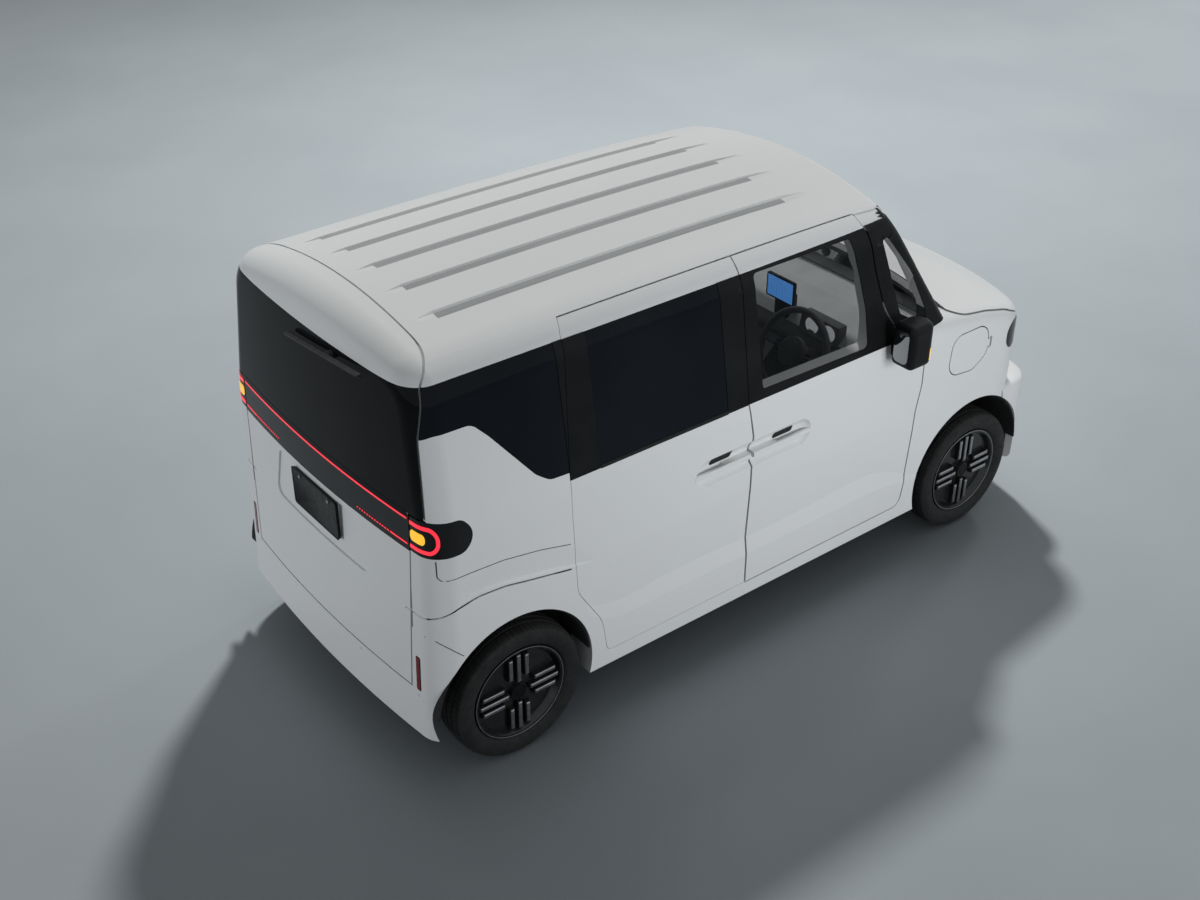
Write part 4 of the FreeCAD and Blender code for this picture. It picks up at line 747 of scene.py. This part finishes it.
def spun_tyre():
    """A right tyre round the origin: its section is spun about Y, then the tread blocks are raised."""
    side_wall = [(0.0590, 0.2034), (0.0655, 0.2065), (0.0720, 0.2130), (0.0765, 0.2240), (0.0795, 0.2370),
                 (0.0805, 0.2480), (0.0790, 0.2580), (0.0755, 0.2680), (0.0700, 0.2745), (0.0610, 0.2790)]
    tread = [(0.0565, 0.2800), (0.0345, 0.2828), (0.0330, 0.2768), (0.0270, 0.2768), (0.0255, 0.2832),
             (0.0050, 0.2838), (0.0035, 0.2772)]
    half = side_wall + tread
    section = [(-y, radius) for y, radius in half] + [(y, radius) for y, radius in reversed(half)]
    deselect()
    bpy.ops.mesh.primitive_circle_add(vertices=len(section), radius=0.1)
    tyre = bpy.context.object
    tyre.name = "tyre"
    for point, (y, radius) in zip(tyre.data.vertices, section):
        point.co = Vector((0.0, y, radius))
    pick(tyre, lambda a, b: True, "EDGE")
    bpy.ops.mesh.spin(steps=84, angle=math.tau, center=(0, 0, 0), axis=(0, 1, 0))
    bpy.ops.mesh.select_all(action="SELECT")
    bpy.ops.mesh.remove_doubles(threshold=0.00005)
    bpy.ops.mesh.normals_make_consistent(inside=False)
    leave()

    def on_tread(centre, normal):
        groove = 0.2765 if abs(centre.y) > 0.06 else 0.2770
        return math.hypot(centre.x, centre.z) > groove and abs(centre.y) < 0.0725 and normal.y ** 2 < 0.60

    pick(tyre, on_tread)
    bpy.ops.mesh.inset(thickness=0.0011, depth=0.0030, use_individual=True)
    leave()
    return tyre


def make_tyres():
    first = spun_tyre()
    for place, x, side in WHEELS:
        tyre = copied(first, "treaded_tyre_" + place, (x, side * TYRE_MIDDLE, AXLE_HEIGHT))
        put(tyre, "wheel_" + place, "rubber", 30.0)
        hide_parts("tyre_" + place)
    removed(first)


def bar_caps():
    """Brushed faces on the twelve bars of a cover: three bars, turned to the four quarters."""
    caps = []
    for row, start, end in ((0, 0.050, 0.176), (1, 0.070, 0.163), (-1, 0.070, 0.163)):
        middle = row * BAR_PITCH
        cap = block("cap", (start, -CAP_HALF_THICK, middle - CAP_HALF_WIDE),
                    (end, CAP_HALF_THICK, middle + CAP_HALF_WIDE))
        inset(cap, lambda c, n: n.y < -0.9, (0.0034, 0.0026))
        caps.append(softened(cap, 0.0005, 2, 15.0))
    quarters = [grouped("group", caps)]
    for quarter in (1, 2, 3):
        twin = copied(quarters[0], "group")
        twin.data.transform(Matrix.Rotation(quarter * math.pi / 2, 4, "Y"))
        quarters.append(twin)
    return grouped("bar_caps", quarters)


def dress_wheels():
    """Bar caps, a centre cap and a bright line round the lip on each wheel cover."""
    caps = bar_caps()
    centre = drum("centre_cap", 0.0315, 0.006, (0, 0, 0), (0, 1, 0), 48)
    inset(centre, lambda c, n: n.y < -0.9, (0.006, -0.0015), (0.004, 0.0), (0.002, 0.0015))
    softened(centre, 0.0008, 2)
    lip = ring("lip", 0.1985, 0.0016, (0, 0, 0), (0, 1, 0), 96, 8)
    parts = ((caps, "bar_caps_", "wheel_silver", 0.0), (centre, "centre_cap_", "gloss_black", -0.0035),
             (lip, "rim_lip_", "plate_edge", 0.0045))
    for place, x, side in WHEELS:
        for first, name, look, deep in parts:
            piece = copied(first, name + place, flip=side > 0)
            piece.data.transform(Matrix.Translation((x, side * (COVER_MIDDLE + deep), AXLE_HEIGHT)))
            put(piece, "wheel_" + place, look)
    removed(caps, centre, lip)


# Glass edges: matt sash strips, pillar covers, screen borders, belt seals and mirrors

DOOR_GLASS_END = -0.302
DOOR_PANE_REAR = -0.912
QUARTER_START = -1.0445
SCREEN_FACING = (0.8, 0, 0.6)
BORDER_THICK = 0.0006
COVER_THICK = 0.0010


def sash_strips():
    """The matt black uprights at both ends of the sliding door's window."""
    front = [((DOOR_GLASS_END, 0, 0), (-1, 0, 0))]
    rear = [((DOOR_PANE_REAR, 0, 0), (1, 0, 0)), ((QUARTER_START, 0, 0), (-1, 0, 0))]
    for word, side in SIDES:
        own_side = ((0, side * 0.5, 0), (0, -side, 0))
        for name, cuts in (("front", front), ("rear", rear)):
            outer_sheet("sash_%s_%s" % (name, word), "privacy_glass", [own_side] + cuts, (0, side, 0), 0.0022,
                        "pillar_black")


def screen_pillar_covers():
    """Matt black over the pillars round the small fixed panes, as far forward as the windscreen."""
    for word, side in SIDES:
        cuts = [((0.40, 0, 0), (-1, 0, 0)), ((0, 0, 1.655), (0, 0, 1)), ((0, 0, 1.1515), (0, 0, -1)),
                ((0, side * 0.55, 0), (0, -side, 0))]
        outer_sheet("screen_pillar_cover_" + word, "body_side_" + word, cuts, (-0.25, side * 0.93, 0.27),
                    COVER_THICK, "pillar_black", 0.15)


def screen_bands():
    """The black border printed on the windscreen's edge, and the matt black heads of its pillars."""
    outer_sheet("screen_border_top", "front_glass", [((0, 0, 1.632), (0, 0, -1))], SCREEN_FACING,
                BORDER_THICK, "gloss_black")
    for word, side in SIDES:
        cuts = [((0.9, side * 0.598, 1.200), (0, -side * 0.45, -0.083)), ((0, 0, 1.633), (0, 0, 1))]
        outer_sheet("screen_border_" + word, "front_glass", cuts, SCREEN_FACING, BORDER_THICK,
                    "gloss_black")
        cuts = [((0.50, 0, 0), (-1, 0, 0)), ((0, 0, 1.440), (0, 0, -1)), ((0, 0, 1.690), (0, 0, 1))]
        outer_sheet("screen_pillar_head_" + word, "body_side_" + word, cuts, (0.82, side * 0.42, 0.40),
                    COVER_THICK, "pillar_black", 0.62)


def belt_seals():
    """Rubber seals at the foot of the sliding doors' windows."""
    seal = block("belt_seal_right", (-0.910, -0.7320, 1.1455), (DOOR_GLASS_END, -0.7250, 1.1600))
    inset(seal, lambda c, n: n.y < -0.9, (0.004, -0.0015))
    softened(seal, 0.0012, 2)
    put_both(seal, "body", "rubber")


def mirrors():
    """Each mirror's glass, on its rear face, and the amber lamp on its front."""
    low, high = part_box("door_trim_right")
    glass = block("mirror_glass_right", (0.5478, low.y + 0.022, 1.112), (0.5502, low.y + 0.098, 1.254))
    round_corners(glass, 0.024, 6)
    softened(glass, 0.0006, 2)
    amber = strip("mirror_amber_right", (0.6575, -BESIDE, 1.112), (0.6670, -BESIDE, 1.165), (3, 8), "Y")
    thickened(laid_on(amber, "door_trim_right", LEFTWARDS), 0.0010)
    put_both(glass, "front_door_right", "mirror_silver")
    put_both(amber, "front_door_right", "amber_glow")


# Panel joints, painted shade in the roof channels and behind the door pulls, and the lamps' dark surrounds

SIDE_PANELS = ("body_side_right body_side_left sliding_door_right sliding_door_left "
               "door_front_right door_front_left front_fenders rear_bumper front_bumper")
JOINT_STEP = 0.02
JOINT_THICK = 0.0006


def joint_line(name, route, side, wide):
    """A dark joint laid on the panels along a route of (x, z), seen from one side of the car."""
    rows = []
    for start, end in zip(route, route[1:]):
        start, end = Vector(start), Vector(end)
        steps = max(1, round((end - start).length / JOINT_STEP))
        rows += [start.lerp(end, step / steps) for step in range(steps)]
    rows.append(Vector(route[-1]))
    deselect()
    bpy.ops.mesh.primitive_grid_add(x_subdivisions=len(rows) - 1, y_subdivisions=1, size=1.0)
    piece = bpy.context.object
    piece.name = name
    points = sorted(piece.data.vertices, key=lambda point: (round(point.co.x, 5), point.co.y))
    for count, (low_point, high_point) in enumerate(zip(points[0::2], points[1::2])):
        ahead = rows[min(count + 1, len(rows) - 1)] - rows[max(count - 1, 0)]
        square = Vector((-ahead.y, ahead.x)).normalized() * wide / 2
        for point, place in ((low_point, rows[count] - square), (high_point, rows[count] + square)):
            point.co = Vector((place.x, side * BESIDE, place.y))
    laid_on(piece, SIDE_PANELS, (0, -side, 0), 0.0)
    pick(piece, lambda p: abs(p.y) > BESIDE - 0.01, "VERT")
    bpy.ops.mesh.delete(type="VERT")
    leave()
    return thickened(piece, JOINT_THICK)


def panel_joints():
    """Where the lamp panel and the rear bumper meet the side, and the slot of the sliding door's rail."""
    routes = (
        ("lamp_panel_joint", 0.0028, [(-1.600, 1.030), (-1.600, 0.965), (-1.590, 0.951), (-1.570, 0.948),
                                      (-1.484, 0.947), (-1.342, 0.939), (-1.187, 0.912), (-1.052, 0.878)]),
        ("bumper_joint", 0.0030, [(-1.640, 0.700), (-1.618, 0.690), (-1.579, 0.655), (-1.528, 0.602)]),
        ("rail_slot", 0.0062, [(-1.660, 0.7705), (-1.632, 0.780), (-1.590, 0.798), (-1.540, 0.8165),
                               (-1.453, 0.8315), (-1.340, 0.8235), (-1.248, 0.8035), (-1.049, 0.765)]),
    )
    for name, wide, route in routes:
        for word, side in SIDES:
            put(joint_line("%s_%s" % (name, word), route, side, wide), "body", "rubber")


def roof_shade_strips():
    """Painted shade: grey sheets laid in the bottoms of the five pressed channels in the roof, where shade
    falls.
    """
    pitch, half, rear, front = 0.193, 0.0143, -1.345, 0.255
    for count in range(5):
        middle = (count - 2) * pitch
        bottom = strip("roof_channel_shade_%d" % (count + 1), (rear, middle - half, ABOVE),
                       (front, middle + half, ABOVE), (70, 2), "Z")
        laid_on(bottom, "roof_panel", (0, 0, -1), 0.0)
        applied(bottom, "SOLIDIFY", thickness=0.0008, offset=1.0)
        # Painted shade: the grey finish on these sheets stands for the shade in the channels.
        put(bottom, "body", "channel_grey")


def door_pull_shades():
    """Painted shade: dark sheets laid in the bowls behind the door pulls, where shade falls."""
    for body, panel, rear, front, foot, high in (
            ("body", "sliding_door", -0.372, -0.262, 0.931, 0.040),
            ("front_door_right", "door_front", -0.040, 0.066, 0.925, 0.031)):
        hole = oblong(panel + "_hand_hole_right", front - rear, high, 0.012)
        refined(hole, 3)
        for point in hole.data.vertices:
            point.co = Vector((rear + point.co.x, -BESIDE, foot + point.co.y))
        thickened(laid_on(hole, panel + "_right", LEFTWARDS, 0.0), 0.0008)
        # Painted shade: the dark rubber finish on these sheets stands for the shade in the bowls.
        put_both(hole, body, "rubber")


def lamp_surrounds():
    """The dark ends of the headlamps, wrapped back round the fender's corner."""
    long, foot = 0.150, 0.865
    axis_x, axis_y = 1.36, -0.60
    first_turn, full_turn = math.radians(-96.0), math.radians(62.0)
    hood = oblong("headlamp_surround_right", long, 0.135, 0.060)
    refined(hood, 4)
    for point in hood.data.vertices:
        turn = first_turn + point.co.x / long * full_turn
        point.co = Vector((axis_x + math.cos(turn), axis_y + math.sin(turn), foot + point.co.y))
    thickened(wrapped_on(hood, "front_fenders", (axis_x, axis_y), 0.0004), 0.0012)
    put_both(hood, "body", "tail_black")


# Nose: lamp units behind their lenses, and slats in the low intake

def head_units():
    """A pale ring close behind each headlamp's lens, and the projector in its middle."""
    middle, height, behind_lens = -0.562, 0.818, 0.0035
    halo = ring("lamp_ring_right", 0.070, 0.0045, (0.0, middle, height), FORWARDS, 72, 8)
    for point in halo.data.vertices:
        start = Vector((AHEAD, point.co.y, point.co.z))
        hit, where, _, _ = nodes["headlamps"].ray_cast(start, Vector(BACKWARDS))
        point.co.x += (where.x if hit else 1.53) - behind_lens
    lens = drum("projector_right", 0.030, 0.010, (1.5385, middle, height), FORWARDS, 48)
    inset(lens, lambda c, n: n.x > 0.9, (0.004, 0.0), (0.003, -0.003), (0.008, 0.0035), (0.008, 0.002))
    softened(lens, 0.0008, 2)
    put_both(halo, "body", "lamp_white")
    put_both(lens, "body", "plate_edge")


def intake_slats():
    """Four slats in the low intake, each a little narrower than the one below."""
    slats = []
    for count in range(4):
        foot = 0.268 + 0.0130 * count
        reach = 0.418 - 0.006 * count
        slats.append(strip("slat", (AHEAD, -reach, foot), (AHEAD, reach, foot + 0.0052), (44, 3), "X"))
    slats = grouped("intake_slats", slats)
    laid_on(slats, "front_bumper", BACKWARDS, 0.004)
    thickened(slats, 0.006)
    softened(slats, 0.0008, 2)
    put(slats, "body", "grained_black")


# Cabin: padded seats, screen and dials, vents, hub pad and door cards

SWELL_FRAMES = 20
CLOTH_STIFFNESS = 18.0
VOXEL = 0.011
SEATS = (("front", -0.190, 0.50, 0.52, (("_right", -0.32), ("_left", 0.32)), 0.32),
         ("rear", -0.865, 1.18, 0.45, (("", 0.0),), 0.33))


def grown(piece, press, cap):
    """The pad is swelled as cloth by inner pressure, and held within cap of its start."""
    start = [point.co.copy() for point in piece.data.vertices]
    take(piece)
    cloth = piece.modifiers.new("swell", "CLOTH")
    cloth.settings.use_pressure = True
    cloth.settings.uniform_pressure_force = press
    cloth.settings.effector_weights.gravity = 0.0
    cloth.settings.tension_stiffness = CLOTH_STIFFNESS
    cloth.settings.compression_stiffness = CLOTH_STIFFNESS
    cloth.point_cache.frame_start = 1
    cloth.point_cache.frame_end = SWELL_FRAMES
    scene = bpy.context.scene
    for moment in range(1, SWELL_FRAMES + 1):
        scene.frame_set(moment)
    take(piece)
    bpy.ops.object.modifier_apply(modifier=cloth.name)
    scene.frame_set(1)
    for point, first in zip(piece.data.vertices, start):
        move = point.co - first
        if move.length > cap:
            point.co = first + move.normalized() * cap


def pad(name, outline, width, crown, press=4.0, cap=0.016):
    """A padded form: its side outline in XZ is filled, widened, rounded, and swelled as cloth."""
    deselect()
    bpy.ops.mesh.primitive_circle_add(vertices=len(outline), radius=0.1, fill_type="NGON")
    piece = bpy.context.object
    piece.name = name
    for point, (x, z) in zip(piece.data.vertices, outline):
        point.co = Vector((x, -width / 2, z))
    pick(piece, lambda c, n: True)
    bpy.ops.mesh.extrude_region_move(TRANSFORM_OT_translate={"value": (0.0, width, 0.0)})
    bpy.ops.mesh.select_all(action="SELECT")
    bpy.ops.mesh.normals_make_consistent(inside=False)
    leave()
    softened(piece, crown, 4, 30.0)
    applied(piece, "REMESH", mode="VOXEL", voxel_size=VOXEL)
    grown(piece, press, cap)
    applied(piece, "SMOOTH", factor=0.5, iterations=2)
    return piece


def seat_pads(rear_x, width, long):
    """Cushion, back and head pad of one seat; rear_x is where the cushion meets the back."""
    front = rear_x + long
    cushion = pad("cushion", [(rear_x + 0.015, 0.405), (front - 0.030, 0.420), (front + 0.012, 0.480),
                              (front - 0.010, 0.555), (rear_x + 0.11, 0.538), (rear_x + 0.02, 0.530)],
                  width - 0.03, 0.030)
    back = pad("back", [(rear_x + 0.005, 0.560), (rear_x + 0.105, 0.560), (rear_x - 0.008, 1.112),
                        (rear_x - 0.050, 1.122), (rear_x - 0.088, 1.108)], width - 0.03, 0.026)
    head = pad("head", [(rear_x - 0.098, 1.140), (rear_x - 0.020, 1.140), (rear_x - 0.024, 1.280),
                        (rear_x - 0.090, 1.285)], 0.235, 0.028, 3.0, 0.008)
    return cushion, back, head


def placed(first, name, place, look, angle=35.0):
    """A copy in its place across the car, on the body."""
    return put(copied(first, name, (0, place, 0)), "body", look, angle)


def place_padded(first, name, place):
    piece = placed(first, name, place, "seat_cloth", 60.0)
    return piece


def seats():
    replacing = []
    for label, rear_x, width, long, places, head_half in SEATS:
        cushion, back, head = seat_pads(rear_x, width, long)
        base = block("base", (rear_x - 0.02, -width / 2 + 0.03, 0.332),
                     (rear_x + long - 0.03, width / 2 - 0.03, 0.400))
        softened(base, 0.012, 3)
        posts = grouped("posts", [drum("post", 0.006, 0.090, (rear_x - 0.058, y, 1.125), (0, 0, 1), 20)
                                  for y in (-0.05, 0.05)])
        for word, place in places:
            name = label + "_seat" + word
            replacing += [place_padded(cushion, name + "_cushion", place),
                          place_padded(back, name + "_back", place),
                          placed(base, name + "_base", place, "grained_black")]
        for word, side in SIDES:
            name, place = "%s_seat_%s" % (label, word), side * head_half
            replacing += [place_padded(head, name + "_head_pad", place),
                          placed(posts, name + "_head_posts", place, "plate_edge")]
        removed(cushion, back, head, base, posts)
    for piece in replacing:
        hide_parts("seats")


def dash_screen():
    """A screen that stands on the dash top, with its bezel and foot."""
    bezel = block("screen_bezel", (0.588, -0.158, 1.085), (0.604, 0.012, 1.196))
    round_corners(bezel, 0.008, 4)
    inset(bezel, lambda c, n: n.x < -0.9, (0.006, -0.0015))
    softened(bezel, 0.0015, 2)
    glow = block("screen", (0.5876, -0.150, 1.093), (0.5890, 0.004, 1.188))
    softened(glow, 0.0005, 2)
    foot = block("foot", (0.600, -0.115, 1.000), (0.640, -0.031, 1.110))
    shifted(foot, lambda p: p.x > 0.63, (0.02, 0.0, 0.0))
    softened(foot, 0.006, 3)
    put(grouped("screen_mount", [bezel, foot]), "body", "gloss_black")
    put(glow, "body", "screen_blue")


def dials():
    """The hood over the dials, its top drawn back, and the two dials before the driver."""
    hood = block("dial_hood", (0.575, -0.430, 1.000), (0.645, -0.210, 1.092))
    inset(hood, lambda c, n: n.x < -0.9, (0.009, 0.0), (0.003, -0.020))
    shifted(hood, lambda p: p.z > 1.06 and p.x < 0.60, (0.018, 0.0, 0.0))
    softened(hood, 0.004, 3)
    put(hood, "body", "dash_skin")
    faces = []
    for place in (-0.370, -0.270):
        dial = drum("dial", 0.036, 0.004, (0.597, place, 1.042), FORWARDS, 48)
        inset(dial, lambda c, n: n.x < -0.9, (0.004, 0.0), (0.002, -0.002))
        faces.append(dial)
    put(grouped("dials", faces), "body", "lamp_white")


def dash_top():
    """A pale grained skin over the dashboard's upper face."""
    cuts = [((0.600, 0, 0), (-1, 0, 0)), ((0, 0, 0.990), (0, 0, -1))]
    outer_sheet("dash_top_skin", "dashboard", cuts, (0, 0, 1), 0.0015, "dash_pale",
                proud=0.0003)


def vents():
    """Slatted outlets in the dash, each in its frame."""
    edge = block("vent", (0.586, -0.055, 0.935), (0.604, 0.055, 0.985))
    inset(edge, lambda c, n: n.x < -0.9, (0.005, 0.0), (0.0015, -0.010))
    parts = [softened(edge, 0.0015, 2)]
    for count in range(4):
        foot = 0.945 + 0.0095 * count
        parts.append(softened(block("slat", (0.588, -0.049, foot), (0.597, 0.049, foot + 0.002)), 0.0006, 2))
    first = grouped("vent", parts)
    for word, side in SIDES:
        placed(first, "vent_" + word, side * 0.515, "grained_black")
    removed(first)


def hub_pad():
    """The steering wheel's centre pad and its two button groups, square to the leaning column."""
    centre_pad = drum("hub_pad", 0.068, 0.030, (0, 0, 0), (0, 0, 1), 64)
    inset(centre_pad, lambda c, n: n.z > 0.9, (0.012, 0.006), (0.012, 0.003))
    softened(centre_pad, 0.004, 3)
    half_wide, half_high = 0.011, 0.006
    buttons = []
    for side in (-1, 1):
        for step in (-1, 0, 1):
            across, up = side * 0.088, step * 0.017
            button = block("button", (across - half_wide, up - half_high, 0.004),
                           (across + half_wide, up + half_high, 0.013))
            buttons.append(softened(button, 0.002, 2))
    buttons = grouped("wheel_buttons", buttons)
    lean = math.radians(24.0)
    towards = Vector((-math.cos(lean), 0.0, math.sin(lean)))
    upward = Vector((math.sin(lean), 0.0, math.cos(lean)))
    turn = Matrix((upward.cross(towards), upward, towards)).transposed().to_4x4()
    wheel_centre = Matrix.Translation((0.440, -0.320, 0.985))
    for piece in (centre_pad, buttons):
        piece.data.transform(wheel_centre @ turn)
    put(centre_pad, "hand_wheel", "wheel_leather")
    put(buttons, "hand_wheel", "gloss_black")


def door_cards():
    """Trim inside each front door: a raised card with an armrest and a pocket."""
    card = block("door_card_right", (-0.150, -0.6655, 0.380), (0.640, -0.6600, 1.110))
    inset(card, lambda c, n: n.y > 0.9, (0.022, 0.002))
    softened(card, 0.0015, 2)
    rest = block("rest", (-0.060, -0.6610, 0.800), (0.330, -0.6180, 0.846))
    inset(rest, lambda c, n: n.z > 0.9, (0.009, 0.0), (0.004, -0.006))
    softened(rest, 0.006, 3)
    pocket = block("pocket", (-0.080, -0.6610, 0.430), (0.420, -0.6320, 0.560))
    inset(pocket, lambda c, n: n.z > 0.9, (0.005, 0.0), (0.001, -0.10))
    softened(pocket, 0.004, 2)
    grips = grouped("door_rest_right", [rest, pocket])
    put_both(card, "front_door_right", "dash_skin")
    put_both(grips, "front_door_right", "grained_black")


def wiper_blade():
    """The rubber rail under the rear wiper's arm, square to the tailgate's glass."""
    head, tail = Vector((-1.6665, -0.408, 1.6435)), Vector((-1.6705, 0.093, 1.5935))
    half_wide, half_high = 0.0045, 0.0035
    rail = block("wiper_rail", (0.0, -half_wide, -half_high), ((tail - head).length, half_wide, half_high))
    inset(rail, lambda c, n: n.z > 0.9, (0.002, 0.002))
    softened(rail, 0.001, 2)
    way = (tail - head).normalized()
    out = Vector((-1.0, 0.0, 0.18)).normalized()
    out = (out - way * out.dot(way)).normalized()
    turn = Matrix((way, out.cross(way), out)).transposed().to_4x4()
    rail.data.transform(Matrix.Translation(head + out * 0.0045) @ turn)
    put(rail, "tail_door", "grained_black")


bpy.context.scene.view_settings.view_transform = "Standard"
deselect()
set_camera()
set_world()
set_lamps(lay_floor())
make_paint_and_glass()
make_lamp_finishes()
make_plastics_and_rubber()
make_metals()
make_cloths()
finish_nodes()

tail_lines()
corner_lamps()
reflectors()
sensors()
number_plate("rear_plate", REAR_PLATE_FACE, -1, REAR_PLATE_HEIGHT, "tail_door")
plate_holder()
number_plate("front_plate", 1.6905, 1, 0.4215, "body")
wiper_blade()
make_tyres()
dress_wheels()
sash_strips()
screen_pillar_covers()
screen_bands()
belt_seals()
mirrors()
panel_joints()
roof_shade_strips()
door_pull_shades()
lamp_surrounds()
head_units()
intake_slats()
seats()
dash_screen()
dials()
dash_top()
vents()
hub_pad()
door_cards()
